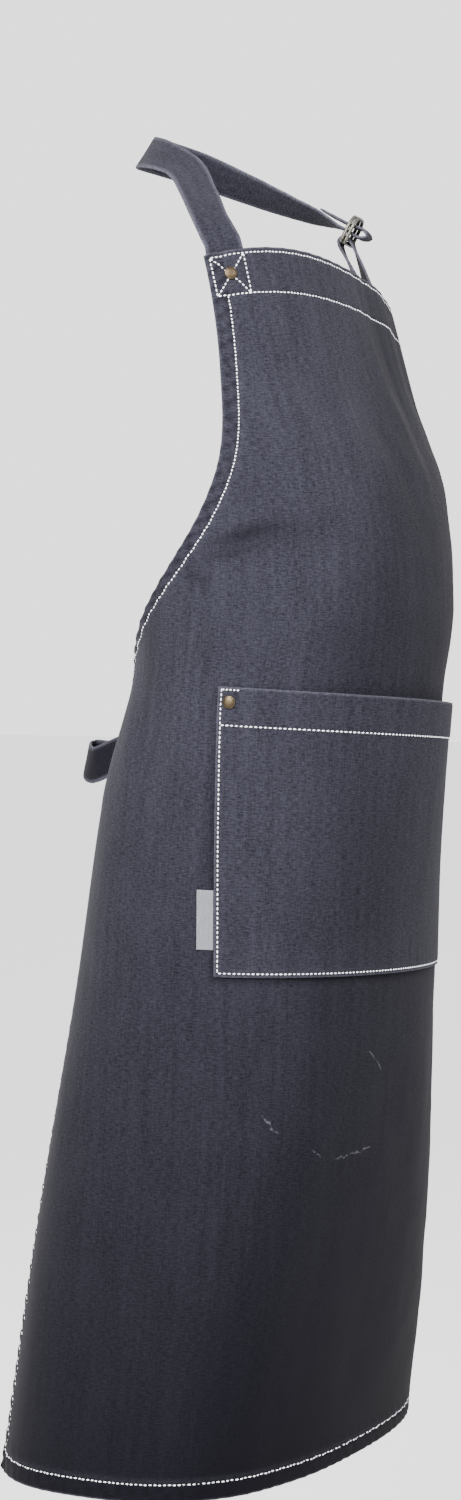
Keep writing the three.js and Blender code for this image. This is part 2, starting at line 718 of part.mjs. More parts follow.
// The two keys that bring a tie square to the knot's side.
function knotKeys(sign) {
  return [KNOT_GRIP, 0].map((away) => {
    const key = tieRoute(KNOT_SIDE, KNOT_NEAR, 1);
    key.centre.x += sign * (KNOT_LENGTH / 2 + GAP + away);
    return key;
  });
}

function waistTieRightGeometry() {
  const round = [tieRoute(-0.95, 0.3, 0), tieRoute(-0.45, 0.02, 1), tieRoute(-0.1, 0, 1.2)];
  const keys = [rightLeaves, ...round, ...knotKeys(-1)];
  return bandGeometry(tieRows(-1), smoothStations(keys, 4), TIE_WIDTH, WEBBING);
}

function waistTieLeftGeometry() {
  const round = [tieRoute(0.74, 0.84, 0), tieRoute(1.0, 0.6, 0.25), tieRoute(1.5, 0.42, 0.5)];
  const keys = [leftLeaves, ...round, ...knotKeys(1)];
  return bandGeometry(tieRows(1), smoothStations(keys, 4), TIE_WIDTH, WEBBING);
}

// The plain knot that joins the ties, a soft lump a little lower than the band is wide.
function tieKnotGeometry() {
  const round = KNOT_THICKNESS / 3;
  const halfLength = KNOT_LENGTH / 2 - round;
  const halfHeight = (TIE_WIDTH * KNOT_HEIGHT_SHARE) / 2 - round;
  const shape = new THREE.Shape();
  shape.moveTo(-halfLength, -halfHeight * 0.7);
  shape.quadraticCurveTo(0, -halfHeight * 1.3, halfLength, -halfHeight * 0.7);
  shape.lineTo(halfLength, halfHeight * 0.7);
  shape.quadraticCurveTo(0, halfHeight * 1.3, -halfLength, halfHeight * 0.7);
  shape.closePath();
  const lump = new THREE.ExtrudeGeometry(shape, {
    depth: KNOT_THICKNESS - 2 * round,
    bevelEnabled: true,
    bevelThickness: round,
    bevelSize: round,
    bevelSegments: 3,
    curveSegments: 6,
  });
  lump.translate(0, 0, round - KNOT_THICKNESS / 2);
  lump.rotateX(Math.PI / 2);
  const at = tieRoute(KNOT_SIDE, KNOT_NEAR, 1).centre;
  return lump.translate(at.x, at.y, at.z);
}

function cottonMaterial(color) {
  return new THREE.MeshStandardMaterial({ color, roughness: 0.95, metalness: 0 });
}

const satin = () => new THREE.MeshStandardMaterial({ color: 0x9a9aa4, roughness: 0.5 });
const brass = () => new THREE.MeshStandardMaterial({ color: 0x7a6a4c, roughness: 0.4, metalness: 1 });
const nickel = () => new THREE.MeshStandardMaterial({ color: 0x8d897c, roughness: 0.35, metalness: 1 });

const apron = new THREE.Group();

function addPiece(name, geometry, material) {
  const mesh = new THREE.Mesh(geometry, material);
  mesh.name = name;
  apron.add(mesh);
}

addPiece('apron_panel', panelGeometry(), cottonMaterial(0x4b4c58));
addPiece('pocket', pocketGeometry(), cottonMaterial(0x4b4c58));
addPiece('pocket_label', labelGeometry(), satin());
addPiece('neck_strap', neckStrapGeometry(), cottonMaterial(0x565763));
addPiece('ring_strap', ringStrapGeometry(), cottonMaterial(0x565763));
addPiece('ring_inner', ringGeometry(-ringSpacing / 2), nickel());
addPiece('ring_outer', ringGeometry(ringSpacing / 2), nickel());
addPiece('waist_tie_right', waistTieRightGeometry(), cottonMaterial(0x3c3d48));
addPiece('waist_tie_left', waistTieLeftGeometry(), cottonMaterial(0x3c3d48));
addPiece('tie_knot', tieKnotGeometry(), cottonMaterial(0x3c3d48));
for (const rivet of RIVETS) {
  addPiece(rivet.name, rivetGeometry(rivet), brass());
}

export default apron;
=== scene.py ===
"""Bib apron in washed cotton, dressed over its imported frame.

The scene is in metres. Flat patterns and routes are in millimetres. +Z is up, the wearer faces
-Y and the wearer's left is at +X.
"""

import logging
import math
import random
from dataclasses import dataclass, field
from enum import Enum
from typing import Callable, Sequence

import bmesh
import bpy
from mathutils import Matrix, Vector, noise


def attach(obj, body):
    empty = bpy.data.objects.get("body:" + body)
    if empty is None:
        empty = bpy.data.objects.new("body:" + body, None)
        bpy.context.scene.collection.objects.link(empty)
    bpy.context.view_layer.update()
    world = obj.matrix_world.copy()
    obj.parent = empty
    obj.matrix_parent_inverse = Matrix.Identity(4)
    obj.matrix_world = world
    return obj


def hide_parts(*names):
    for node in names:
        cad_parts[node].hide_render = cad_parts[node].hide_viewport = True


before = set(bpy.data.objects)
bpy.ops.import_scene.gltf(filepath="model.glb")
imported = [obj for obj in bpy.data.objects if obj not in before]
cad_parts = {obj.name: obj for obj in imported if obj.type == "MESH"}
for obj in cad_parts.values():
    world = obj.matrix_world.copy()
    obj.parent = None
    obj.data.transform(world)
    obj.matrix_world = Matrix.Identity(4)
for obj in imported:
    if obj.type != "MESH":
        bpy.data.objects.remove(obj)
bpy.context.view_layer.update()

LOG = logging.getLogger("apron")
MM = 0.001
BODY = "root"

Flat = tuple[float, float]
Place = Callable[[float, float, float], Vector]
Triple = tuple[float, float, float]
Colour = tuple[float, float, float, float]
Line = tuple[float, float, float, float]
Material = bpy.types.Material
Piece = bpy.types.Object
Shape = bmesh.types.BMesh


class Slot(Enum):
    """The record's material slots."""

    CLOTH = "cotton_cloth"
    STRAP = "cotton_strap"
    SATIN = "satin_label"
    RING = "ring_metal"
    RIVET = "rivet_metal"


class Side(Enum):
    """A side of the wearer, with its sign along X."""

    RIGHT = -1
    LEFT = 1


def mix(a: float, b: float, t: float) -> float:
    """Returns the value a share t of the way from a to b."""
    return a + (b - a) * t


def smooth(t: float) -> float:
    """Returns an eased step from 0 to 1."""
    s = min(1.0, max(0.0, t))
    return s * s * (3 - 2 * s)


def hump(x: float, middle: float, reach: float) -> float:
    """Returns a soft hump of height 1 at middle, falling off over reach."""
    return math.exp(-(((x - middle) / reach) ** 2))


def ripple(x: float, y: float, size: float, seed: float = 0.0) -> float:
    """Returns smooth noise from -1 to 1 whose features are about size across."""
    return noise.noise(Vector((x / size, y / size, seed)))


# Finishes


def operator(operation: str, swapped: bool = False) -> Callable[["Wire", "Wire | float"], "Wire"]:
    """Makes one arithmetic operator of Wire.

    Args:
        operation: its Math node's operation.
        swapped: whether the other value comes first.

    Returns:
        The operator.
    """

    def apply(self: "Wire", other: "Wire | float") -> "Wire":
        """Returns the result of one Math node."""
        return self._math(operation, other, self) if swapped else self._math(operation, self, other)

    return apply


@dataclass(frozen=True)
class Wire:
    """One output socket of a shader, with arithmetic."""

    graph: "Graph"
    socket: bpy.types.NodeSocket

    def _math(self, operation: str, a: "Wire | float", b: "Wire | float" = 0.0) -> "Wire":
        """Returns the result of one Math node.

        Args:
            operation: the node's operation.
            a: first value.
            b: second value.

        Returns:
            The node's output.
        """
        made = self.graph.node("ShaderNodeMath", {"operation": operation}, {0: a, 1: b})
        return Wire(self.graph, made.outputs[0])

    __add__ = operator("ADD")
    __radd__ = operator("ADD", swapped=True)
    __sub__ = operator("SUBTRACT")
    __rsub__ = operator("SUBTRACT", swapped=True)
    __mul__ = operator("MULTIPLY")
    __rmul__ = operator("MULTIPLY", swapped=True)

    def sine(self) -> "Wire":
        """Returns the sine."""
        return self._math("SINE", self)

    def ramp(self, low: float, high: float) -> "Wire":
        """Returns a clamped ramp that is 0 at low and 1 at high."""
        made = self.graph.node(
            "ShaderNodeMapRange", {"clamp": True}, {0: self, 1: low, 2: high, 3: 0.0, 4: 1.0}
        )
        return Wire(self.graph, made.outputs[0])


class Graph:
    """The node graph of one material."""

    def __init__(self, name: str) -> None:
        """Makes an empty graph under a new material's name."""
        self.material = bpy.data.materials.new(name)
        self.material.use_nodes = True
        self.tree = self.material.node_tree
        self.tree.nodes.clear()

    def node(self, kind: str, settings: dict | None = None, sockets: dict | None = None) -> bpy.types.Node:
        """Adds a node.

        Args:
            kind: the node's type.
            settings: its properties by name.
            sockets: its inputs by name or number, as values or wires.

        Returns:
            The node.
        """
        made = self.tree.nodes.new(kind)
        for name, value in (settings or {}).items():
            setattr(made, name, value)
        for name, value in (sockets or {}).items():
            if isinstance(value, Wire):
                self.tree.links.new(value.socket, made.inputs[name])
            else:
                made.inputs[name].default_value = value
        return made

    def flat(self) -> Wire:
        """Returns the piece's flat pattern coordinates, in metres."""
        return Wire(self, self.node("ShaderNodeUVMap", {"uv_map": "flat"}).outputs[0])

    def local(self) -> Wire:
        """Returns the piece's object coordinates."""
        return Wire(self, self.node("ShaderNodeTexCoord").outputs["Object"])

    def attribute(self, name: str) -> Wire:
        """Returns a value painted on the piece's points."""
        return Wire(self, self.node("ShaderNodeAttribute", {"attribute_name": name}).outputs["Fac"])

    def parts(self, vector: Wire) -> tuple[Wire, Wire]:
        """Returns a vector's first two parts."""
        made = self.node("ShaderNodeSeparateXYZ", None, {0: vector})
        return Wire(self, made.outputs[0]), Wire(self, made.outputs[1])

    def grain(self, vector: Wire, size: Triple, detail: float = 2.0) -> Wire:
        """Adds smooth noise.

        Args:
            vector: where it is read.
            size: how large its features are along each axis, in metres.
            detail: finer layers.

        Returns:
            The noise, about 0 to 1.
        """
        scale = tuple(1 / s for s in size)
        placed = self.node("ShaderNodeMapping", None, {"Vector": vector, "Scale": scale})
        made = self.node(
            "ShaderNodeTexNoise",
            {"noise_dimensions": "3D"},
            {"Vector": Wire(self, placed.outputs[0]), "Scale": 1.0, "Detail": detail},
        )
        return Wire(self, made.outputs[0])

    def vector(
        self,
        operation: str,
        a: "Wire | Sequence",
        b: "Wire | Sequence" = (0, 0, 0),
        scale: "Wire | float" = 1.0,
    ) -> Wire:
        """Adds one Vector Math node.

        Args:
            operation: the node's operation.
            a: first vector.
            b: second vector.
            scale: factor, for the operation that scales.

        Returns:
            Its vector, or the value of a dot product or a length.
        """
        made = self.node("ShaderNodeVectorMath", {"operation": operation}, {0: a, 1: b, 3: scale})
        return Wire(self, made.outputs["Value" if operation in ("DOT_PRODUCT", "LENGTH") else "Vector"])

    def crease(self, place: Wire, ends: Line, width: float) -> Wire:
        """Draws one short line on the flat pattern.

        Args:
            place: where the pattern is read.
            ends: across and down of its two ends, in millimetres.
            width: half its width, in metres.

        Returns:
            1 along the line, falling to 0 at its sides.
        """
        start = Vector((ends[0] * MM, -ends[1] * MM, 0))
        run = Vector((ends[2] * MM, -ends[3] * MM, 0)) - start
        offset = self.vector("SUBTRACT", place, start)
        along = self.vector("DOT_PRODUCT", offset, run) * (1 / run.length_squared)
        nearest = self.vector("SCALE", run, scale=along.ramp(0.0, 1.0))
        away = self.vector("SUBTRACT", offset, nearest)
        return 1 - self.vector("LENGTH", away).ramp(0.0, width)

    def blend(self, factor: Wire | float, a: Wire | Colour, b: Wire | Colour) -> Wire:
        """Returns a colour mixed from a to b by factor."""
        made = self.node("ShaderNodeMix", {"data_type": "RGBA"}, {0: factor, 6: a, 7: b})
        return Wire(self, made.outputs[2])

    def finish(self, shader: dict, height: Wire | None, depth: float) -> Material:
        """Closes the graph with one surface shader.

        Args:
            shader: the surface's inputs by name.
            height: relief, in shares of depth.
            depth: the relief's depth in metres.

        Returns:
            The material.
        """
        if height is not None:
            bump = {"Height": height, "Distance": depth, "Strength": 1.0}
            relief = self.node("ShaderNodeBump", None, bump)
            shader = {**shader, "Normal": Wire(self, relief.outputs[0])}
        surface = self.node("ShaderNodeBsdfPrincipled", None, shader)
        self.node("ShaderNodeOutputMaterial", None, {"Surface": Wire(self, surface.outputs[0])})
        return self.material


@dataclass(frozen=True)
class Grain:
    """One layer of noise on cloth: its size across and down in metres, finer layers and weight."""

    across: float
    down: float
    detail: float
    weight: float


@dataclass(frozen=True)
class WashedCotton:
    """Plain cotton canvas, dyed, washed and worn pale along its edges, with painted shade where its
    attribute "shade" is set.
    """

    name: str
    deep: Colour = (0.0064, 0.0060, 0.0094, 1)
    pale: Colour = (0.0250, 0.0242, 0.0340, 1)
    worn: Colour = (0.070, 0.070, 0.088, 1)
    # Near black colour of the painted shade.
    shadow: Colour = (0.0007, 0.0004, 0.0018, 1)
    chalk: Colour = (0.060, 0.060, 0.070, 1)
    creases: tuple[Line, ...] = ()
    crease_width: float = 0.0009
    crease_drift: float = 0.006
    crease_scale: float = 160.0
    warp: Grain = Grain(0.0010, 0.006, 3.0, 0.7)
    weft: Grain = Grain(0.0045, 0.0008, 3.0, 1.3)
    fleck: Grain = Grain(0.0017, 0.0014, 3.0, 0.9)
    cloud: Grain = Grain(0.030, 0.040, 5.0, 0.3)
    streak: Grain = Grain(0.005, 0.09, 2.0, 0.45)
    slub: Grain = Grain(0.005, 0.0007, 1.0, 0.3)
    slub_range: Flat = (0.66, 0.8)
    tone_range: Flat = (0.14, 0.9)
    rub_floor: float = 0.85
    yarn: float = 0.00062
    relief: float = 0.00022
    sheen: float = 0.02

    def make(self) -> Material:
        """Returns the material."""
        g = Graph(self.name)
        flat = g.flat()
        u, v = g.parts(flat)
        weave = (u * (math.pi / self.yarn)).sine() * (v * (math.pi / self.yarn)).sine()
        layers = (self.warp, self.weft, self.fleck, self.cloud, self.streak, self.slub)
        noises = [g.grain(flat, (layer.across, layer.down, 1.0), layer.detail) for layer in layers]
        warp, weft, fleck = noises[:3]
        tone = noises[5].ramp(*self.slub_range) * self.slub.weight + 0.5
        for layer, wire in zip(layers[:5], noises):
            tone = tone + (wire - 0.5) * layer.weight
        cloth = g.blend(tone.ramp(*self.tone_range), self.deep, self.pale)
        # Painted shade: the attribute "shade" darkens the cloth's colour towards the near black shadow
        # colour.
        shaded = g.blend(g.attribute("shade"), cloth, self.shadow)
        rubbed = (g.attribute("wear") * (weft + warp + fleck - self.rub_floor)).ramp(0.0, 1.0)
        colour = g.blend(rubbed, shaded, self.worn)
        if self.creases:
            waver = {"Vector": flat, "Scale": self.crease_scale, "Detail": 2.0}
            drift = Wire(g, g.node("ShaderNodeTexNoise", None, waver).outputs["Color"])
            swing = g.vector("SUBTRACT", drift, (0.5, 0.5, 0.5))
            place = g.vector("ADD", flat, g.vector("SCALE", swing, scale=self.crease_drift))
            lines = g.crease(place, self.creases[0], self.crease_width)
            for ends in self.creases[1:]:
                lines = lines + g.crease(place, ends, self.crease_width)
            colour = g.blend(lines * weft.ramp(0.3, 0.6), colour, self.chalk)
        height = weave * 0.22 + warp * 0.5 + weft * 0.6 + fleck * 0.3
        shader = {
            "Base Color": colour,
            "Roughness": 0.92,
            "Specular IOR Level": 0.08,
            "Sheen Weight": self.sheen,
            "Sheen Roughness": 0.45,
        }
        return g.finish(shader, height, self.relief)


@dataclass(frozen=True)
class SeamThread:
    """White cotton sewing thread, with its twist."""

    name: str = "white_thread"
    colour: Colour = (0.93, 0.93, 0.95, 1)
    soiled: Colour = (0.66, 0.67, 0.72, 1)

    def make(self) -> Material:
        """Returns the material."""
        g = Graph(self.name)
        place = g.local()
        patch = g.grain(place, (0.012, 0.012, 0.012), 3.0)
        twist = g.grain(place, (0.0004, 0.0004, 0.0004), 1.0)
        colour = g.blend(patch.ramp(0.3, 0.75), self.soiled, self.colour)
        shader = {"Base Color": colour, "Roughness": 0.75, "Sheen Weight": 0.2}
        return g.finish(shader, twist, 0.0002)


@dataclass(frozen=True)
class SatinTape:
    """Grey woven satin tape, with fine ribs along it."""

    name: str = "grey_satin"
    dark: Colour = (0.060, 0.060, 0.070, 1)
    light: Colour = (0.135, 0.135, 0.155, 1)
    rib: float = 0.0005

    def make(self) -> Material:
        """Returns the material."""
        g = Graph(self.name)
        flat = g.flat()
        u, v = g.parts(flat)
        ribs = (u * (math.pi / self.rib)).sine() * 0.5 + 0.5
        streak = g.grain(flat, (0.0006, 0.01, 1.0), 2.0)
        tone = (ribs * 0.3 + streak * 0.9).ramp(0.2, 1.0)
        colour = g.blend(tone, self.dark, self.light)
        shader = {"Base Color": colour, "Roughness": 0.42 + streak * 0.2, "Sheen Weight": 0.3}
        return g.finish(shader, ribs, 0.0001)


@dataclass(frozen=True)
class AgedMetal:
    """Plated metal with a dark patina in its hollows."""

    name: str
    bright: Colour
    patina: Colour
    roughness: float = 0.34

    def make(self) -> Material:
        """Returns the material."""
        g = Graph(self.name)
        place = g.local()
        cloud = g.grain(place, (0.004, 0.004, 0.004), 4.0)
        pits = g.grain(place, (0.0007, 0.0007, 0.0007), 2.0)
        tarnish = (cloud * 0.8 + pits * 0.4 + g.attribute("hollow") * 0.6).ramp(0.45, 0.95)
        colour = g.blend(tarnish, self.bright, self.patina)
        shader = {"Base Color": colour, "Metallic": 1.0, "Roughness": self.roughness + tarnish * 0.25}
        return g.finish(shader, cloud * 0.4 + pits * 0.6, 0.00012)


BRASS = (0.105, 0.078, 0.046, 1)
BRASS_PATINA = (0.022, 0.017, 0.012, 1)
NICKEL = (0.17, 0.16, 0.135, 1)
NICKEL_PATINA = (0.03, 0.028, 0.024, 1)


@dataclass(frozen=True)
class StudioFloor:
    """Matt pale studio floor with a very faint grain."""

    name: str = "pale_floor"
    colour: Colour = (0.86, 0.86, 0.87, 1)
    grain: Colour = (0.84, 0.84, 0.85, 1)

    def make(self) -> Material:
        """Returns the material."""
        g = Graph(self.name)
        speckle = g.grain(g.local(), (0.05, 0.05, 0.05), 3.0)
        colour = g.blend(speckle, self.colour, self.grain)
        return g.finish({"Base Color": colour, "Roughness": 0.9}, None, 0)


# How the cloth hangs


@dataclass(frozen=True)
class Level:
    """One level section of the wrap, as shares of the drape's own sizes."""

    down: float
    side: float
    front: float
    back: float
    lead: float
    square: float
    swing: float
    dip: float
    droop: float


@dataclass(frozen=True)
class Fold:
    """A soft dent or wave, as shares of the panel's length and half the skirt's width."""

    down: float
    across: float
    long: float
    wide: float
    turn: float
    rise: float


# The wrap's level sections, from the bib top to the hem.
LEVELS = (
    Level(0.0, 0.80, 0.60, 0.6, -0.16, 2.6, 0.0, 0.0235, 0.0275),
    Level(0.1, 0.84, 0.68, 0.7, -0.05, 2.3, 0.0, 0.0095, 0.0115),
    Level(0.195, 0.88, 0.83, 0.8, 0.04, 2.1, 0.0, 0.004, 0.003),
    Level(0.29, 0.86, 0.88, 0.85, 0.08, 2.0, 0.0, 0.01, 0.0),
    Level(0.37, 0.77, 0.84, 0.84, 0.07, 2.0, 0.0, 0.02, 0.0),
    Level(0.47, 0.84, 0.91, 0.91, -0.04, 2.0, -0.01, 0.018, 0.0),
    Level(0.64, 0.94, 0.98, 0.94, -0.145, 2.0, -0.03, 0.01, 0.0),
    Level(0.82, 0.99, 1.0, 1.0, -0.23, 2.2, -0.1, 0.0, 0.0),
    Level(1.0, 1.01, 0.97, 1.0, -0.31, 2.5, -0.2, -0.012, 0.0),
)

# Broad folds, which the CAD solids have too: two beside the armhole and the hem's soft flutes.
FOLDS = (
    Fold(0.235, -0.44, 0.05, 0.02, -14, -0.0027),
    Fold(0.265, -0.42, 0.04, 0.018, -10, -0.0017),
    Fold(0.47, -0.8, 0.12, 0.03, 78, 0.0022),
    Fold(0.8, -0.86, 0.2, 0.04, 86, 0.0037),
    Fold(0.84, -0.6, 0.2, 0.045, 88, -0.0029),
    Fold(0.86, 0.3, 0.18, 0.05, 90, 0.0029),
    Fold(0.85, 0.72, 0.2, 0.045, 93, -0.0032),
)


@dataclass
class Drape:
    """The panel's flat pattern and the way that it hangs, in millimetres.

    Across runs from the centre front towards the wearer's left. Down runs from the bib top.
    """

    length: float = 820.0
    skirt_width: float = 664.0
    bib_width: float = 266.0
    corner_down: float = 337.0
    armhole_power: float = 2.45
    half_width: float = 160.0
    half_depth: float = 120.0
    axis_forward: float = 95.0
    bib_drop: float = 89.0
    droop_power: float = 2.5
    section_steps: int = 80
    height_steps: int = 100
    probe: float = 2.0
    heights: list[float] = field(default_factory=list)
    sections: dict[float, tuple] = field(default_factory=dict)

    def __post_init__(self) -> None:
        """Works out how high each level hangs, so the cloth's own length runs down its front."""
        self.heights = [-self.bib_drop]
        run = self.length / self.height_steps
        for i in range(1, self.height_steps + 1):
            lean = self.lead_at(i / self.height_steps) - self.lead_at((i - 1) / self.height_steps)
            self.heights.append(self.heights[-1] - math.sqrt(max(run * run - lean * lean, 0.0)))

    def column(self, key: str, share: float) -> float:
        """Reads one column of the levels as a smooth curve.

        Args:
            key: the column.
            share: where, as a share of the length.

        Returns:
            Its value there.
        """
        last = len(LEVELS) - 1
        row = 0
        while row < last - 1 and LEVELS[row + 1].down < share:
            row += 1

        def slope(i: int) -> float:
            """Returns the curve's slope at a row."""
            a, b = LEVELS[max(0, i - 1)], LEVELS[min(last, i + 1)]
            return (getattr(b, key) - getattr(a, key)) / (b.down - a.down)

        start, end = LEVELS[row], LEVELS[row + 1]
        step = end.down - start.down
        t = min(1.0, max(0.0, (share - start.down) / step))
        t2, t3 = t * t, t * t * t
        return (
            (2 * t3 - 3 * t2 + 1) * getattr(start, key)
            + (t3 - 2 * t2 + t) * step * slope(row)
            + (3 * t2 - 2 * t3) * getattr(end, key)
            + (t3 - t2) * step * slope(row + 1)
        )

    def half_at(self, down: float) -> float:
        """Returns half the flat width at a distance down."""
        t = min(1.0, max(0.0, down / self.corner_down))
        return mix(self.bib_width / 2, self.skirt_width / 2, t**self.armhole_power)

    def lead_at(self, share: float) -> float:
        """Returns how far the centre front stands before the body's axis."""
        return self.half_depth * (self.column("lead", share) + self.column("front", share))

    def height_at(self, down: float) -> float:
        """Returns the height of a level."""
        at = max(0.0, down / self.length * self.height_steps)
        row = min(self.height_steps - 1, int(at))
        return mix(self.heights[row], self.heights[row + 1], min(1.0, at - row))

    def section_at(self, down: float) -> tuple:
        """Works out one level section, once for each height.

        Args:
            down: distance from the bib top.

        Returns:
            Its half outline to the side and forward, the length run along it, then its swing, lead,
            height, dip and droop.
        """
        key = round(down, 3)
        if key in self.sections:
            return self.sections[key]
        share = min(1.0, max(0.0, down / self.length))
        side = self.half_width * self.column("side", share)
        front = self.half_depth * self.column("front", share)
        back = self.half_depth * self.column("back", share)
        power = 2 / self.column("square", share)
        xs, forwards, lengths = [], [], []
        for i in range(self.section_steps + 1):
            angle = math.pi * i / self.section_steps
            c = math.cos(angle)
            xs.append(side * abs(math.sin(angle)) ** power)
            forwards.append((front if c >= 0 else -back) * abs(c) ** power)
            gone = math.hypot(xs[-1] - xs[-2], forwards[-1] - forwards[-2]) if i else 0.0
            lengths.append((lengths[-1] if i else 0.0) + gone)
        made = (
            xs,
            forwards,
            lengths,
            self.half_width * self.column("swing", share),
            self.half_depth * self.column("lead", share),
            self.height_at(down),
            self.length * self.column("dip", share),
            self.length * self.column("droop", share),
        )
        self.sections[key] = made
        return made

    def wrap(self, across: float, down: float) -> Vector:
        """Finds a point of the smooth wrap.

        Args:
            across: distance from the centre front along the cloth.
            down: distance from the bib top along the cloth.

        Returns:
            The point, without folds.
        """
        xs, forwards, lengths, swing, lead, height, dip, droop = self.section_at(down)
        reach = abs(across)
        low, high = 1, len(lengths) - 1
        while low < high:
            middle = (low + high) // 2
            if lengths[middle] < reach:
                low = middle + 1
            else:
                high = middle
        t = (reach - lengths[low - 1]) / (lengths[low] - lengths[low - 1])
        x = math.copysign(mix(xs[low - 1], xs[low], t), across)
        forward = mix(forwards[low - 1], forwards[low], t)
        edge = across / self.half_at(down)
        z = height - dip * edge - droop * abs(edge) ** self.droop_power
        return Vector((swing + x, -(lead + forward) - self.axis_forward, z))

    def fold_rise(self, across: float, down: float) -> float:
        """Returns how far the folds lift the cloth."""
        return self.length * sum(self.press(fold, across, down) for fold in FOLDS)

    def press(self, fold: Fold, across: float, down: float) -> float:
        """Works out one fold's part at a place.

        Args:
            fold: the fold.
            across: place on the flat pattern.
            down: place on the flat pattern.

        Returns:
            Its rise there, as a share of the panel's length.
        """
        dx = across - fold.across * self.skirt_width / 2
        dy = down - fold.down * self.length
        turn = math.radians(fold.turn)
        along = (dx * math.cos(turn) + dy * math.sin(turn)) / (fold.long * self.length)
        over = (dy * math.cos(turn) - dx * math.sin(turn)) / (fold.wide * self.length)
        return fold.rise * math.exp(-along * along - over * over)

    def axes(self, across: float, down: float) -> tuple[Vector, Vector, Vector]:
        """Returns the cloth's directions to the left, down, and out."""
        p = self.probe
        right = (self.wrap(across + p, down) - self.wrap(across - p, down)).normalized()
        top, below = max(0.0, down - p), min(self.length, down + p)
        fall = (self.wrap(across, below) - self.wrap(across, top)).normalized()
        return right, fall, fall.cross(right).normalized()

    def point(self, across: float, down: float, lift: float = 0.0) -> Vector:
        """Returns a point lifted off the panel's outer face."""
        out = self.axes(across, down)[2]
        return self.wrap(across, down) + out * (lift + self.fold_rise(across, down))


DRAPE = Drape()

# Finer folds: pinches beside the armhole, slack in the bib, soft flutes of the skirt and gathers
# under the bib band.
FINE_FOLDS = (
    Fold(0.250, -0.47, 0.036, 0.0065, -14, -0.0017),
    Fold(0.242, -0.46, 0.040, 0.0090, -14, 0.0012),
    Fold(0.262, -0.50, 0.030, 0.0080, -4, 0.0010),
    Fold(0.279, -0.56, 0.020, 0.0060, 18, -0.0015),
    Fold(0.296, -0.52, 0.020, 0.0060, 68, -0.0012),
    Fold(0.100, 0.02, 0.070, 0.0120, 74, 0.0012),
    Fold(0.130, 0.10, 0.090, 0.0140, 80, -0.0014),
    Fold(0.160, -0.05, 0.060, 0.0120, 68, -0.0009),
    Fold(0.440, -0.62, 0.080, 0.0160, 64, -0.0016),
    Fold(0.430, -0.72, 0.070, 0.0160, 72, 0.0018),
    Fold(0.700, -0.45, 0.160, 0.0260, 84, 0.0022),
    Fold(0.780, -0.20, 0.180, 0.0300, 96, -0.0024),
    Fold(0.720, 0.12, 0.140, 0.0260, 82, 0.0020),
    Fold(0.930, -0.35, 0.080, 0.0200, 88, 0.0018),
    Fold(0.090, 0.04, 0.080, 0.0070, 80, 0.0010),
    Fold(0.060, 0.09, 0.070, 0.0060, 84, -0.0013),
    Fold(0.050, 0.15, 0.060, 0.0060, 88, 0.0012),
    Fold(0.070, 0.21, 0.080, 0.0070, 86, -0.0014),
)


# Mesh work


def add_piece(
    name: str, bm: Shape, material: Material, node: str = ""
) -> Piece:
    """Turns a finished bmesh into a smooth shaded piece that rides on the body.

    Args:
        name: the piece's name.
        bm: the mesh, in metres; it is freed.
        material: its finish.
        node: the CAD node that it stands for, if any.

    Returns:
        The piece.
    """
    mesh = bpy.data.meshes.new(name)
    bm.to_mesh(mesh)
    bm.free()
    mesh.materials.append(material)
    mesh.shade_smooth()
    piece = bpy.data.objects.new(name, mesh)
    bpy.context.scene.collection.objects.link(piece)
    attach(piece, BODY)
    if node:
        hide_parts(node)
    LOG.info("%s: %d faces", name, len(mesh.polygons))
    return piece


def cloth_layers(bm: Shape) -> tuple:
    """Returns a cloth mesh's new layers: its flat pattern, its wear and its painted shade."""
    floats = bm.verts.layers.float
    return bm.loops.layers.uv.new("flat"), floats.new("wear"), floats.new("shade")


def lay_flat(bm: Shape, uv: bmesh.types.BMLayerItem, flats: dict[int, Flat]) -> None:
    """Sets a mesh's flat pattern.

    Args:
        bm: the mesh.
        uv: the layer that takes it, in metres.
        flats: each point's place across and down, in millimetres.
    """
    for face in bm.faces:
        for loop in face.loops:
            across, down = flats[loop.vert.index]
            loop[uv].uv = (across * MM, -down * MM)


def add_wall(piece: Piece, thickness: float, thin: float | None = None) -> None:
    """Gives a sheet its thickness, inwards from its face.

    Args:
        piece: the sheet.
        thickness: at full weight of the group "hem", or everywhere, in millimetres.
        thin: where the group has no weight, in millimetres.
    """
    wall = piece.modifiers.new("wall", "SOLIDIFY")
    wall.thickness = thickness * MM
    wall.offset = -1
    wall.use_rim = True
    if thin is not None:
        wall.vertex_group = "hem"
        wall.thickness_vertex_group = thin / thickness


@dataclass
class Sheet:
    """A sheet of cloth laid out as a fine grid over its flat pattern."""

    name: str
    columns: int
    rows: int
    flat_at: Callable[[float, float], Flat]
    place: Place
    wear: Callable[[float, float], float]
    shade: Callable[[float, float], float]

    def build(self) -> Shape:
        """Returns the sheet's mesh, with its flat pattern as UVs and its wear and its painted shade on its
        points.
        """
        bm = bmesh.new()
        uv, wear, shade = cloth_layers(bm)
        bmesh.ops.create_grid(bm, x_segments=self.columns, y_segments=self.rows, size=0.5)
        flats: dict[int, Flat] = {}
        for vert in bm.verts:
            across, down = self.flat_at(vert.co.x + 0.5, 0.5 - vert.co.y)
            flats[vert.index] = (across, down)
            vert.co = self.place(across, down, 0.0) * MM
            vert[wear] = self.wear(across, down)
            # Painted shade, from the piece's own shade function.
            vert[shade] = self.shade(across, down)
        lay_flat(bm, uv, flats)
        return bm


def add_stitches(name: str, bm: Shape, thread: Material) -> Piece:
    """Returns finished stitches as one piece, with their faces turned outwards."""
    bmesh.ops.recalc_face_normals(bm, faces=bm.faces)
    return add_piece(name, bm, thread)


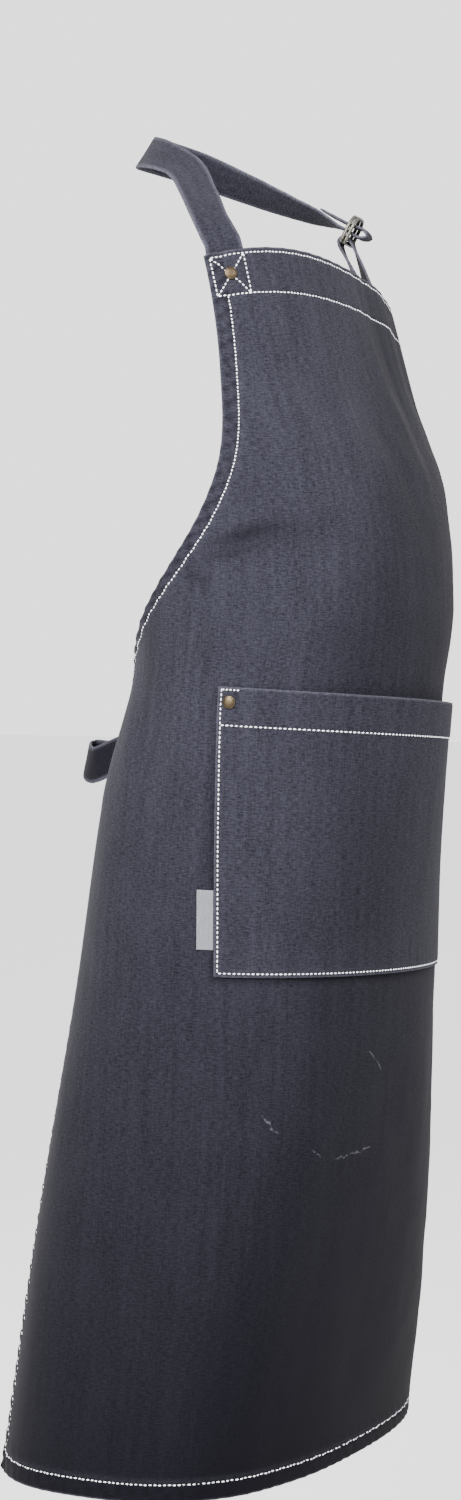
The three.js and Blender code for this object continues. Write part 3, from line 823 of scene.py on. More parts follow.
@dataclass
class Seam:
    """Rows of lockstitch along routes on a surface."""

    place: Place
    pitch: float = 3.0
    length: float = 2.5
    width: float = 1.15
    height: float = 0.6
    slant: float = 3.0
    lift: float = 0.2
    rng: random.Random = field(default_factory=lambda: random.Random(7))

    def sew(self, bm: Shape, route: Sequence[Flat], pitch: float | None = None) -> None:
        """Adds one row of stitches.

        Args:
            bm: the mesh that takes them, in metres.
            route: the row's corners on the flat pattern, in millimetres.
            pitch: from one stitch to the next.
        """
        pitch = pitch or self.pitch
        for (a0, d0), (a1, d1) in zip(route, route[1:]):
            run = math.hypot(a1 - a0, d1 - d0)
            count = max(1, round(run / pitch))
            reach = min(self.length, 0.8 * run / count) / run
            for i in range(count):
                middle = (i + 0.5) / count
                self.stitch(bm, (a0, d0), (a1 - a0, d1 - d0), middle, reach)

    def stitch(self, bm: Shape, start: Flat, run: Flat, middle: float, reach: float) -> None:
        """Adds one stitch, a short plump grain of thread.

        Args:
            bm: the mesh that takes it.
            start: where its stretch of the route starts.
            run: how far that stretch goes, across and down.
            middle: the stitch's middle, as a share of the stretch.
            reach: the stitch's length, as a share of the stretch.
        """
        reach *= self.rng.uniform(0.9, 1.06)
        ends = []
        for share in (middle - reach / 2, middle + reach / 2):
            ends.append(self.place(start[0] + run[0] * share, start[1] + run[1] * share, self.lift))
        at = (start[0] + run[0] * middle, start[1] + run[1] * middle)
        centre = self.place(at[0], at[1], self.lift)
        out = (self.place(at[0], at[1], self.lift + 1.0) - centre).normalized()
        along = ends[1] - ends[0]
        size = along.length / 2
        slant = math.radians(self.rng.uniform(0.4, 1.6) * self.slant)
        along = Matrix.Rotation(slant, 3, out) @ along.normalized()
        over = out.cross(along).normalized()
        out = along.cross(over)
        grow = Matrix.Diagonal((size, self.width / 2, self.height / 2, 1))
        turn = Matrix((along, over, out)).transposed().to_4x4()
        bmesh.ops.create_icosphere(
            bm,
            subdivisions=1,
            radius=1.0,
            matrix=Matrix.Scale(MM, 4) @ Matrix.Translation(centre) @ turn @ grow,
        )


# Straps


@dataclass
class Station:
    """A place along a strap: its centre, its direction across and its outward face."""

    centre: Vector
    across: Vector
    face: Vector


def spline_point(points: Sequence[Vector], t: float) -> Vector:
    """Returns a point of a centripetal spline.

    Args:
        points: what it passes through.
        t: from 0 to 1, even by points.

    Returns:
        The point.
    """
    last = len(points) - 1
    at = min(1.0, max(0.0, t)) * last
    row = min(last - 1, int(at))
    w = at - row
    p1, p2 = points[row], points[row + 1]
    p0 = points[row - 1] if row > 0 else p1 * 2 - p2
    p3 = points[row + 2] if row + 2 <= last else p2 * 2 - p1
    d0, d1, d2 = (max(1e-4, math.sqrt((b - a).length)) for a, b in ((p0, p1), (p1, p2), (p2, p3)))
    m1 = ((p1 - p0) / d0 - (p2 - p0) / (d0 + d1) + (p2 - p1) / d1) * d1
    m2 = ((p2 - p1) / d1 - (p3 - p1) / (d1 + d2) + (p3 - p2) / d2) * d1
    return p1 + m1 * w + (p2 * 3 - p1 * 3 - m1 * 2 - m2) * w**2 + (p1 * 2 - p2 * 2 + m1 + m2) * w**3


def smooth_stations(keys: Sequence[tuple[Vector, Vector]], steps: int) -> list[Station]:
    """Fills in stations between keys.

    Args:
        keys: pairs of a centre and a direction across.
        steps: from one key to the next.

    Returns:
        The stations.
    """
    centres = [key[0] for key in keys]
    count = (len(keys) - 1) * steps
    made = []
    for i in range(count + 1):
        t = i / count
        row = min(len(keys) - 2, i // steps)
        ahead = spline_point(centres, t + 1e-4) - spline_point(centres, t - 1e-4)
        ahead.normalize()
        across = keys[row][1].lerp(keys[row + 1][1], i / steps - row)
        across = (across - ahead * across.dot(ahead)).normalized()
        made.append(Station(spline_point(centres, t), across, ahead.cross(across).normalized()))
    return made


@dataclass
class Band:
    """A folded cotton strap with soft round edges, in millimetres."""

    name: str
    stations: list[Station]
    width: float = 26.0
    thickness: float = 1.8
    step: float = 2.0
    face_columns: int = 10
    crease: float = 0.35
    puff: float = 0.25
    seed: float = 0.0
    # Painted shade over the whole strap, as a share towards near black.
    dark: float = 0.0
    worn: float = 0.95
    worn_in: float = 2.2
    soft_in: float = 4.0
    held_in: float = 12.0

    def __post_init__(self) -> None:
        """Measures the strap along its stations."""
        self.lengths = [0.0]
        for a, b in zip(self.stations, self.stations[1:]):
            self.lengths.append(self.lengths[-1] + (b.centre - a.centre).length)

    @property
    def length(self) -> float:
        """Returns the strap's length."""
        return self.lengths[-1]

    def station_at(self, gone: float) -> Station:
        """Returns the station at a length along the strap."""
        low = 0
        while low < len(self.lengths) - 2 and self.lengths[low + 1] < gone:
            low += 1
        a, b = self.stations[low], self.stations[low + 1]
        run = max(1e-6, self.lengths[low + 1] - self.lengths[low])
        t = min(1.0, max(0.0, (gone - self.lengths[low]) / run))
        across = a.across.lerp(b.across, t).normalized()
        face = a.face.lerp(b.face, t)
        face = (face - across * face.dot(across)).normalized()
        return Station(a.centre.lerp(b.centre, t), across, face)

    def wave(self, across: float, gone: float) -> float:
        """Returns how far the worn strap waves off flat."""
        soft = ripple(across * 0.5, gone, 16.0, self.seed + 3.1)
        fine = ripple(across, gone * 1.6, 5.0, self.seed + 9.4)
        return self.crease * (soft + 0.45 * fine)

    def outline(self) -> list[Flat]:
        """Returns the round edged section, as places across and along the face."""
        half, round_edge = self.width / 2, self.thickness / 2
        flat = half - round_edge
        points = []
        for sign in (1, -1):
            for i in range(self.face_columns):
                points.append((sign * mix(-flat, flat, i / self.face_columns), sign * round_edge))
            for angle in (90, 45, 0, -45):
                turn = math.radians(angle)
                out = flat + round_edge * math.cos(turn)
                points.append((sign * out, sign * round_edge * math.sin(turn)))
        return points

    def place(self, across: float, gone: float, lift: float) -> Vector:
        """Returns a point over the strap's outer face."""
        return self.stand_off(across, gone, self.thickness / 2 + lift)

    def place_under(self, across: float, gone: float, lift: float) -> Vector:
        """Returns a point under the strap's inner face."""
        return self.stand_off(across, gone, -self.thickness / 2 - lift)

    def stand_off(self, across: float, gone: float, high: float) -> Vector:
        """Returns a point that stands off the strap's own middle."""
        here = self.station_at(gone)
        return here.centre + here.across * across + here.face * (high + self.wave(across, gone))

    def build(self) -> Shape:
        """Returns the strap's closed mesh."""
        section = self.outline()
        around = [0.0]
        for a, b in zip(section, section[1:] + section[:1]):
            around.append(around[-1] + math.hypot(b[0] - a[0], b[1] - a[1]))
        rows = max(4, round(self.length / self.step))
        bm = bmesh.new()
        uv, wear, shade = cloth_layers(bm)
        bmesh.ops.create_grid(bm, x_segments=len(section), y_segments=rows, size=0.5)
        at: dict[int, Flat] = {}
        for vert in bm.verts:
            column = round((vert.co.x + 0.5) * len(section))
            gone = (0.5 - vert.co.y) * self.length
            x, h = section[column % len(section)]
            at[vert.index] = (around[column], gone)
            here = self.station_at(gone)
            edge = smooth((self.width / 2 - abs(x)) / self.soft_in)
            swell = 1 + self.puff * edge * (0.5 + 0.5 * ripple(x, gone, 9.0, self.seed))
            end = min(gone, self.length - gone)
            swell *= mix(0.6, 1.0, smooth(end / 1.5))
            waves = self.wave(x, gone) * smooth(end / self.held_in)
            vert.co = (here.centre + here.across * x + here.face * (h * swell + waves)) * MM
            vert[wear] = self.worn * (1 - smooth((self.width / 2 - abs(x)) / self.worn_in))
            # Painted shade, even along the strap.
            vert[shade] = self.dark
        lay_flat(bm, uv, at)
        bmesh.ops.remove_doubles(bm, verts=bm.verts, dist=1e-7)
        open_edges = [edge for edge in bm.edges if edge.is_boundary]
        bmesh.ops.holes_fill(bm, edges=open_edges, sides=0)
        bmesh.ops.recalc_face_normals(bm, faces=bm.faces)
        return bm

    def add(self, cloth: Material, node: str) -> None:
        """Adds the strap as a piece."""
        piece = add_piece(self.name, self.build(), cloth, node)


# The apron's pieces

# Pale creases worn into the skirt and into the neck strap, as across and down of their two ends.
SKIRT_CREASES = (
    (-36, 542, -22, 555),
    (-123, 579, -116, 587),
    (-116, 587, -110, 591),
    (-84, 603, -76, 609),
    (-63, 611, -42, 610),
    (-42, 610, -29, 607),
)
STRAP_CREASES = (
    (4.1, 158, 22, 147),
    (3, 150, 19, 136),
    (2, 167, 15, 163),
)


# Painted shade in the hollows of the folds, where rise is its share.
SHADOWS = (
    Fold(0.246, -0.458, 0.027, 0.0075, -22, 0.42),
    Fold(0.240, -0.377, 0.043, 0.0120, -5, 0.26),
    Fold(0.261, -0.482, 0.027, 0.0042, -14, 0.40),
    Fold(0.282, -0.554, 0.011, 0.0036, 20, 0.36),
    Fold(0.288, -0.534, 0.009, 0.0036, 56, 0.30),
    Fold(0.355, -0.672, 0.045, 0.0120, 92, 0.38),
)


@dataclass(frozen=True)
class PaintedPanelShade:
    """Painted shade in the panel's colour, as shares of near black over the flat pattern: on the far sides
    turned from the light, towards the hem and beside the pocket.
    """

    bib_share: float = 0.42
    bib_lean: float = 0.4
    bib_low: float = 260.0
    hip: float = 370.0
    hip_share: float = 0.17
    hem_share: float = 0.87
    hem_run: float = 440.0
    far_share: float = 0.19
    far_edge: float = -120.0
    far_drift: float = 55.0
    pocket_share: float = 0.4
    pocket_edges: Flat = (158.0, 491.0)
    pucker: float = 0.75
    pucker_from: float = 0.25
    most: float = 0.95

    def bib(self, across: float, down: float) -> float:
        """Returns the painted shade on the bib's far side, which turns away from the light."""
        far = smooth((across + 5 + self.bib_lean * down) / 60)
        return self.bib_share * far * (1 - smooth((down - self.bib_low) / 120))

    def fall(self, down: float) -> float:
        """Returns the painted shade that grows from the hip to the hem."""
        if down > self.hip:
            return mix(self.hip_share, self.hem_share, (down - self.hip) / self.hem_run)
        return self.hip_share * smooth((down - 290) / 80)

    def turned(self, across: float, down: float) -> float:
        """Returns the painted shade where the skirt turns to its far side, away from the light."""
        edge = self.far_edge - self.far_drift * smooth((down - 540) / 200)
        far = smooth((across - edge) / 50) * smooth((down - 420) / 80)
        return self.far_share * far * (1 - 0.5 * smooth((down - 560) / 240))

    def beside_pocket(self, across: float, down: float) -> float:
        """Returns the painted shadow in a narrow line just outside the pocket."""
        outside = max(abs(across) - self.pocket_edges[0], down - self.pocket_edges[1])
        line = (1 - smooth(outside / 6)) * smooth((outside + 4) / 3)
        return self.pocket_share * line * smooth((down - 300) / 12)


@dataclass
class Panel:
    """Bib and skirt in one cloth, hemmed all round, with a deep band along the bib top."""

    columns: int = 168
    rows: int = 276
    cloth: float = 1.2
    hem_cloth: float = 2.2
    side_hem: float = 14.0
    bottom_hem: float = 13.0
    top_band: float = 31.0
    stitch_in: float = 11.0
    hem_cells: float = 0.06
    pucker: float = 0.5
    pucker_pitch: float = 10.5
    pucker_lean: float = 0.55
    pucker_in: float = 26.0
    pucker_fade: float = 15.0
    groove: float = 0.42
    groove_reach: float = 1.3
    padding: float = 0.35
    rolled: float = 0.5
    rolled_in: float = 1.6
    gather: float = 0.25
    gather_pitch: float = 13.0
    pocket_clear: Triple = (172.0, 300.0, 497.0)
    clear_fade: float = 35.0
    slack: float = 0.8
    open_slack: float = 0.9
    top_row: float = 3.0
    corner_reach: float = 7.5
    square: float = 11.5
    painted_shade: PaintedPanelShade = PaintedPanelShade()

    def flat_at(self, x: float, y: float) -> Flat:
        """Returns the flat pattern's place of a grid share, with finer cells along the hems."""
        down = self.even_out(y, self.top_band + 4, self.bottom_hem + 5, DRAPE.length)
        half = DRAPE.half_at(down)
        across = self.even_out(x, self.side_hem + 4, self.side_hem + 4, 2 * half) - half
        return across, down

    def even_out(self, share: float, start: float, end: float, whole: float) -> float:
        """Spaces the grid, with finer cells in the first and last lengths.

        Args:
            share: place along the grid.
            start: the first length.
            end: the last length.
            whole: the whole length.

        Returns:
            The length at that place.
        """
        first = 1.6 * self.hem_cells
        if share < first:
            return start * share / first
        if share > 1 - first:
            return whole - end * (1 - share) / first
        return mix(start, whole - end, (share - first) / (1 - 2 * first))

    def edges(self, across: float, down: float) -> tuple[float, float, float]:
        """Returns the distances to the side, the bottom and the top."""
        return DRAPE.half_at(down) - abs(across), DRAPE.length - down, down

    def relief(self, across: float, down: float) -> float:
        """Returns the sewn hems' puckers and grooves and the cloth's soft waves."""
        side, bottom, top = self.edges(across, down)
        rise = 0.0
        for reach, along, seed in ((side, down, 1.0), (bottom, across, 5.0)):
            sewn = hump(reach, self.stitch_in, self.groove_reach)
            held = smooth((self.pucker_in - reach) / self.pucker_fade)
            twist = self.twist(reach, along, seed)
            rough = 0.5 + 0.5 * ripple(along, reach, 14, seed + 2)
            rise += held * self.pucker * (0.5 + rough) * twist - self.groove * sewn
            rise += self.padding * smooth((self.stitch_in - reach) / 4) * smooth(reach / 1.2)
            rise -= self.rolled * (1 - smooth(reach / self.rolled_in))
        for line in (self.top_row, self.top_band - 1.0):
            rise -= self.groove * hump(top, line, self.groove_reach)
        band = smooth((self.top_band + 5 - top) / 6)
        wander = 1.5 * ripple(across, top, 25, 8)
        rise += band * self.gather * math.sin(across * 2 * math.pi / self.gather_pitch + wander)
        beside, above, below = self.pocket_clear
        open_cloth = smooth(max(abs(across) - beside, above - down, down - below) / self.clear_fade)
        rise += open_cloth * DRAPE.length * sum(DRAPE.press(fold, across, down) for fold in FINE_FOLDS)
        calm = smooth((top - 45) / 60) * smooth((side - 24) / 40) * smooth((bottom - 20) / 60)
        waves = ripple(across * 1.2, down * 0.55, 70, 20) + 0.4 * ripple(across, down, 28, 24)
        depth = self.slack + self.open_slack * open_cloth
        rise += calm * (depth * waves + 0.16 * ripple(across, down, 10, 31))
        return rise

    def place(self, across: float, down: float, lift: float) -> Vector:
        """Returns a point over the panel's outer face."""
        return DRAPE.point(across, down, lift + self.relief(across, down))

    def wear(self, across: float, down: float) -> float:
        """Returns how pale the cloth is rubbed."""
        side, bottom, top = self.edges(across, down)
        edge = min(side, bottom, top)
        rubbed = 1 - smooth(edge / 1.6)
        seam = max(hump(side, self.stitch_in + 2, 2.0), hump(bottom, self.stitch_in + 2, 2.0))
        return min(1.0, 0.6 * rubbed + 0.08 * seam)

    def shade(self, across: float, down: float) -> float:
        """Returns how much painted shade darkens the cloth's colour.

        Args:
            across: place on the flat pattern.
            down: place on the flat pattern.

        Returns:
            The painted shade's share, most towards the hem and the back.
        """
        paint = self.painted_shade
        side, bottom, _ = self.edges(across, down)
        # Painted shade in the hollows of the hems' puckers.
        puckers = max(
            self.twist(side, down, 1.0) * smooth((15 - side) / 5),
            self.twist(bottom, across, 5.0) * smooth((14 - bottom) / 5),
        )
        total = paint.bib(across, down) + paint.fall(down) + paint.turned(across, down)
        # Painted shade in the hollows of the folds.
        total += sum(DRAPE.press(fold, across, down) for fold in SHADOWS)
        total += paint.pucker * max(0.0, puckers - paint.pucker_from)
        return min(paint.most, total + paint.beside_pocket(across, down))

    def twist(self, reach: float, along: float, seed: float) -> float:
        """Works out the twisted puckers of a sewn hem.

        Args:
            reach: distance in from the hem's edge.
            along: distance along the hem.
            seed: picks the hem's own pattern.

        Returns:
            The pucker, from -1 to 1.
        """
        turns = (along + self.pucker_lean * reach) / self.pucker_pitch
        return math.sin(turns * 2 * math.pi + 2.2 * ripple(along, 0, 30, seed))

    def build(self, cotton: Material) -> Piece:
        """Returns the panel's piece."""
        looks = (self.wear, self.shade)
        sheet = Sheet("panel_cloth", self.columns, self.rows, self.flat_at, self.place, *looks)
        piece = add_piece(sheet.name, sheet.build(), cotton, "apron_panel")
        group = piece.vertex_groups.new(name="hem")
        flat = piece.data.uv_layers["flat"].uv
        weights: dict[int, float] = {}
        for loop in piece.data.loops:
            u, v = flat[loop.index].vector
            side, bottom, top = self.edges(u / MM, -v / MM)
            inside = min(side - self.side_hem, bottom - self.bottom_hem, top - self.top_band)
            weights[loop.vertex_index] = 1 - smooth(inside / 1.5)
        for index, weight in weights.items():
            if weight > 0:
                group.add([index], weight, "REPLACE")
        add_wall(piece, self.hem_cloth, self.cloth)
        return piece

    def seams(self, thread: Material, strap_at: float) -> Piece:
        """Sews the hems, the bib band and the two crossed squares at the bib's corners.

        Args:
            thread: the stitches' finish.
            strap_at: how far from the middle the straps are sewn on.

        Returns:
            The stitches, as one piece.
        """
        bm = bmesh.new()
        seam = Seam(self.place)
        inset = self.stitch_in
        corner = DRAPE.bib_width / 2 - inset + self.corner_reach
        top, low = self.top_row, self.top_band - 1.0
        hip = DRAPE.corner_down - 4
        for down in (top, low):
            seam.sew(bm, [(-corner, down), (corner, down)])
        for side in Side:
            sign = side.value
            for start, end, steps in ((low, hip, 60), (hip, DRAPE.length - inset, 30)):
                downs = [start + i * (end - start) / steps for i in range(steps + 1)]
                seam.sew(bm, [(sign * (DRAPE.half_at(down) - inset), down) for down in downs])
            near, far = sign * (strap_at - self.square), sign * (strap_at + self.square)
            rows = (
                ((near, top), (near, low)),
                ((far, top), (far, low)),
                ((near, top), (far, low)),
                ((far, top), (near, low)),
            )
            for row in rows:
                seam.sew(bm, row)
        half = DRAPE.skirt_width / 2 - inset
        seam.sew(bm, [(mix(-half, half, i / 40), DRAPE.length - inset) for i in range(41)])
        return add_stitches("panel_stitches", bm, thread)


@dataclass
class Pocket:
    """One wide patch pocket with a deep hem along its mouth, sewn at its other edges."""

    width: float = 316.0
    height: float = 186.0
    down: float = 305.0
    band: float = 25.0
    band_cloth: float = 2.0
    cloth: float = 1.2
    seam_in: float = 4.0
    stitch_in: float = 2.4
    gape: float = 6.7
    rest: float = 0.7
    rivet_in: float = 8.0
    rivet_down: float = 10.0
    # Painted shade on the pocket: the soft dark patch's strength, place and size across and down.
    patch: float = 0.34
    shade_patch_at: Flat = (-45.0, 425.0)
    shade_patch_size: Flat = (48.0, 95.0)
    columns: int = 150
    rows: int = 96

    def flat_at(self, x: float, y: float) -> Flat:
        """Returns the flat pattern's place of a grid share."""
        return mix(-self.width / 2, self.width / 2, x), mix(self.down, self.down + self.height, y)

    def lift_at(self, across: float, down: float) -> float:
        """Returns how far the pocket stands off the panel."""
        to_side = (self.width / 2 - abs(across) - 2 * self.rivet_in) / (self.width / 2)
        to_bottom = (self.down + self.height - down - self.seam_in) / self.height
        return self.rest + self.gape * smooth(to_side * 1.3) * smooth(to_bottom)

    def thickness_at(self, down: float) -> float:
        """Returns the cloth's thickness, double along the mouth."""
        return mix(self.band_cloth, self.cloth, smooth((down - self.down - self.band) / 1.5))

    def relief(self, across: float, down: float) -> float:
        """Returns the sewn edges' puckers, the band's fold and soft waves."""
        side = self.width / 2 - abs(across)
        bottom = self.down + self.height - down
        top = down - self.down
        rise = 0.0
        for reach, along, seed in ((side, down, 11.0), (bottom, across, 15.0)):
            rise -= 0.35 * hump(reach, self.stitch_in, 1.2)
            held = smooth((20 - reach) / 12)
            twist = math.sin((along + 0.4 * reach) * 2 * math.pi / 9 + 2 * ripple(along, 0, 25, seed))
            rise += 0.16 * held * (0.6 + 0.4 * ripple(along, reach, 12, seed)) * twist
            rise -= 0.4 * (1 - smooth(reach / 1.4))
        rise -= 0.4 * hump(top, self.band, 1.3) + 0.4 * (1 - smooth(top / 1.4))
        calm = smooth((side - 14) / 30) * smooth((bottom - 10) / 30)
        rise += calm * (0.5 * ripple(across, down * 0.6, 55, 41) + 0.1 * ripple(across, down, 9, 43))
        return rise

    def place(self, across: float, down: float, lift: float) -> Vector:
        """Returns a point over the pocket's outer face."""
        stack = self.lift_at(across, down) + self.thickness_at(down)
        return DRAPE.point(across, down, stack + self.relief(across, down) + lift)

    def wear(self, across: float, down: float) -> float:
        """Returns how pale the cloth is rubbed."""
        side = self.width / 2 - abs(across)
        bottom = self.down + self.height - down
        top = down - self.down
        edge = min(side, bottom, top)
        return 0.6 * (1 - smooth(edge / 1.6)) + 0.06 * hump(min(side, bottom), self.stitch_in + 2, 1.6)

    def shade(self, across: float, down: float) -> float:
        """Returns how much painted shade darkens the pocket's colour: a little everywhere, more towards the
        bottom and most in one soft patch.
        """
        dx = (across - self.shade_patch_at[0]) / self.shade_patch_size[0]
        dy = (down - self.shade_patch_at[1]) / self.shade_patch_size[1]
        fall = 0.08 * smooth((down - self.down - 40) / 120)
        return 0.05 + fall + self.patch * math.exp(-(dx**2) - dy**2)

    def build(self, cotton: Material) -> Piece:
        """Returns the pocket's piece."""
        looks = (self.wear, self.shade)
        sheet = Sheet("pocket_cloth", self.columns, self.rows, self.flat_at, self.place, *looks)
        piece = add_piece(sheet.name, sheet.build(), cotton, "pocket")
        group = piece.vertex_groups.new(name="hem")
        for vert in piece.data.vertices:
            row = vert.index // (self.columns + 1)
            down = self.down + self.height * (1 - row / self.rows)
            weight = 1 - smooth((down - self.down - self.band) / 1.5)
            if weight > 0:
                group.add([vert.index], weight, "REPLACE")
        add_wall(piece, self.band_cloth, self.cloth)
        return piece

    def seams(self, thread: Material) -> Piece:
        """Returns the pocket's stitches: its sides and bottom, its band and a bar at each corner."""
        bm = bmesh.new()
        seam = Seam(self.place, lift=0.1)
        side = self.width / 2 - self.stitch_in
        low = self.down + self.height - self.stitch_in
        for sign in (-1, 1):
            seam.sew(bm, [(sign * side, mix(self.down + 1, low, i / 12)) for i in range(13)])
            seam.sew(bm, [(sign * side, self.down + 2), (sign * (side - 12), self.down + 2)], 2.4)
        seam.sew(bm, [(mix(-side, side, i / 20), low) for i in range(21)])
        seam.sew(bm, [(mix(-side, side, i / 20), self.down + self.band) for i in range(21)])
        return add_stitches("pocket_stitches", bm, thread)


@dataclass
class Label:
    """Small folded satin tab at the pocket's side, left bare."""

    width: float = 11.0
    height: float = 38.0
    thickness: float = 1.0
    gap: float = 0.3
    up: float = 17.0

    def build(self, satin: Material, pocket: Pocket) -> Piece:
        """Returns the label's piece."""
        bottom = pocket.down + pocket.height - self.up
        edge = -pocket.width / 2 - self.gap

        def flat_at(x: float, y: float) -> Flat:
            """Returns the flat pattern's place of a grid share."""
            return edge - self.width + self.width * x, bottom - self.height + self.height * y

        def place(across: float, down: float, lift: float) -> Vector:
            """Returns a point over the label's outer face."""
            out = edge - across
            fold = 0.42 * (1 - smooth((self.width - out) / 1.3))
            curl = 0.25 * ripple(across, down, 12, 50) * smooth(out / 4)
            return DRAPE.point(across, down, self.gap + self.thickness - fold + curl + lift)

        sheet = Sheet("pocket_label_satin", 14, 44, flat_at, place, lambda a, d: 0.0, lambda a, d: 0.0)
        piece = add_piece(sheet.name, sheet.build(), satin, "pocket_label")
        add_wall(piece, self.thickness)
        return piece


@dataclass
class Webbing:
    """Sizes that all the folded straps share, in millimetres."""

    width: float = 26.0
    webbing: float = 1.8
    gap: float = 0.3
    room: float = 0.5
    hem_cloth: float = 2.2
    leaves: float = 7.0
    steps: int = 12


@dataclass
class Straps(Webbing):
    """The neck strap, its two rings and the short strap that holds them.

    Each row of the route is a place round the neck, as shares to the left, forward and up, then
    the way that the strap faces and its lean, in degrees.
    """

    inset: float = 2.0
    top_band: float = 31.0
    neck_half: float = 75.0
    neck_depth: float = 95.0
    tail: float = 26.0
    wire: float = 2.6
    ring_inner: float = 17.0
    ring_clear: float = 1.8
    ring_side: float = 1.16
    ring_forward: float = 1.09
    ring_rise: float = 0.455
    heading: float = 22.0
    fall: float = 28.0
    tilt: float = 8.0
    fold_reach: float = 13.0
    returns: tuple[float, ...] = (0.3, 0.65, 0.94)
    arch: float = 9.0
    bar_corner: float = 2.2
    wire_sides: int = 14
    chalk: Colour = (0.17, 0.17, 0.19, 1)
    route: tuple[tuple[float, float, float, float, float], ...] = (
        (-1.44, 1.12, 0.27, 55, 78),
        (-1.22, 0.91, 0.51, 76, 64),
        (-0.98, 0.67, 0.74, 84, 53),
        (-0.80, 0.36, 0.89, 72, 42),
        (-0.45, 0.07, 0.98, 36, 32),
        (0.0, 0.0, 1.0, 0, 30),
        (0.45, 0.10, 0.95, -36, 34),
        (0.80, 0.44, 0.77, -72, 46),
        (1.0, 0.83, 0.58, -86, 64),
    )

    def __post_init__(self) -> None:
        """Sets the rings' own frame."""
        heading, fall, tilt = (math.radians(a) for a in (self.heading, self.fall, self.tilt))
        self.ring_centre = Vector(
            (
                self.ring_side * self.neck_half,
                -self.ring_forward * self.neck_depth,
                (self.ring_rise - 1) * DRAPE.bib_drop,
            )
        )
        self.travel = Vector(
            (math.sin(heading) * math.cos(fall), -math.cos(heading) * math.cos(fall), -math.sin(fall))
        )
        across = Vector((math.cos(tilt), 0, -math.sin(tilt)))
        self.ring_across = (across - self.travel * across.dot(self.travel)).normalized()
        self.ring_up = self.travel.cross(self.ring_across).normalized()

    @property
    def at(self) -> float:
        """Returns how far from the middle the straps are sewn on."""
        return DRAPE.bib_width / 2 - self.inset - self.width / 2

    def ring_point(self, travel: float, up: float) -> Vector:
        """Returns a point in the rings' frame."""
        return self.ring_centre + self.travel * travel + self.ring_up * up

    def sewn(self, across: float) -> list[Station]:
        """Returns the stations of an end sewn behind the bib's band."""
        face = -(self.hem_cloth + self.gap + self.room / 2)
        made = []
        for down in (self.top_band - 3.0, 21.0, self.top_band / 2, 8.0, self.gap):
            right, _, out = DRAPE.axes(across, down)
            made.append(Station(DRAPE.point(across, down, face - self.webbing / 2), right, -out))
        return made

    def leaving(self, across: float) -> tuple[Vector, Vector]:
        """Returns the key where a strap leaves the bib top."""
        right, fall, _ = DRAPE.axes(across, 0)
        behind = -(self.hem_cloth + self.gap + self.webbing / 2)
        return DRAPE.point(across, 0, behind) - fall * self.leaves, right

    def neck(self) -> Band:
        """Returns the long strap, round the neck, through both rings and back over itself."""
        keys = [self.leaving(-self.at)]
        for side, forward, rise, face, lean in self.route:
            turn, tip = math.radians(face), math.radians(lean)
            out = Vector((-math.sin(turn), math.cos(turn), 0))
            centre = Vector((side * self.neck_half, -forward * self.neck_depth, (rise - 1) * DRAPE.bib_drop))
            across = out * -math.sin(tip)
            across.z = math.cos(tip)
            keys.append((centre + out * self.webbing / 2, across))
        lap, reach = self.webbing + self.gap, self.fold_reach
        for travel, up in (
            (-9, -0.6),
            (0, -0.8),
            (0.62 * reach, -0.9),
            (reach, 0.6),
            (0.62 * reach, 2.0),
            (0, 1.7),
            (-9, 1.5),
            (-self.tail, 1.7),
        ):
            keys.append((self.ring_point(travel, up * lap), -self.ring_across))
        stations = self.sewn(-self.at) + smooth_stations(keys, self.steps)
        # Painted shade darkens the neck strap a little.
        return Band("neck_strap_cloth", stations, seed=2.0, dark=0.14)

    def short(self) -> Band:
        """Returns the short strap, from behind the bib over both bars and back behind itself."""
        leaving = self.leaving(self.at)
        bar = self.ring_point(0, -(self.ring_inner + self.wire) / 2)
        hang = leaving[0] - bar
        hang = (hang - self.ring_across * hang.dot(self.ring_across)).normalized()
        behind = self.ring_across.cross(hang).normalized()
        radius = (self.wire + self.gap + 1.2 * self.wire + self.webbing) / 2 + self.gap
        keys = [leaving]
        for i in range(7):
            angle = math.pi * i / 6
            centre = bar - behind * (radius * math.cos(angle)) - hang * (radius * math.sin(angle))
            keys.append((centre, self.ring_across))
        laid = leaving[1].cross(hang).normalized()
        for share in self.returns:
            apart = mix(radius, self.webbing + 2 * self.gap, share)
            centre = bar.lerp(leaving[0], share) + behind * (apart * (1 - share)) + laid * (apart * share)
            keys.append((centre, self.ring_across.lerp(leaving[1], share).normalized()))
        stations = self.sewn(self.at) + smooth_stations(keys, self.steps)
        return Band("ring_strap_cloth", stations, seed=7.0, crease=0.25)

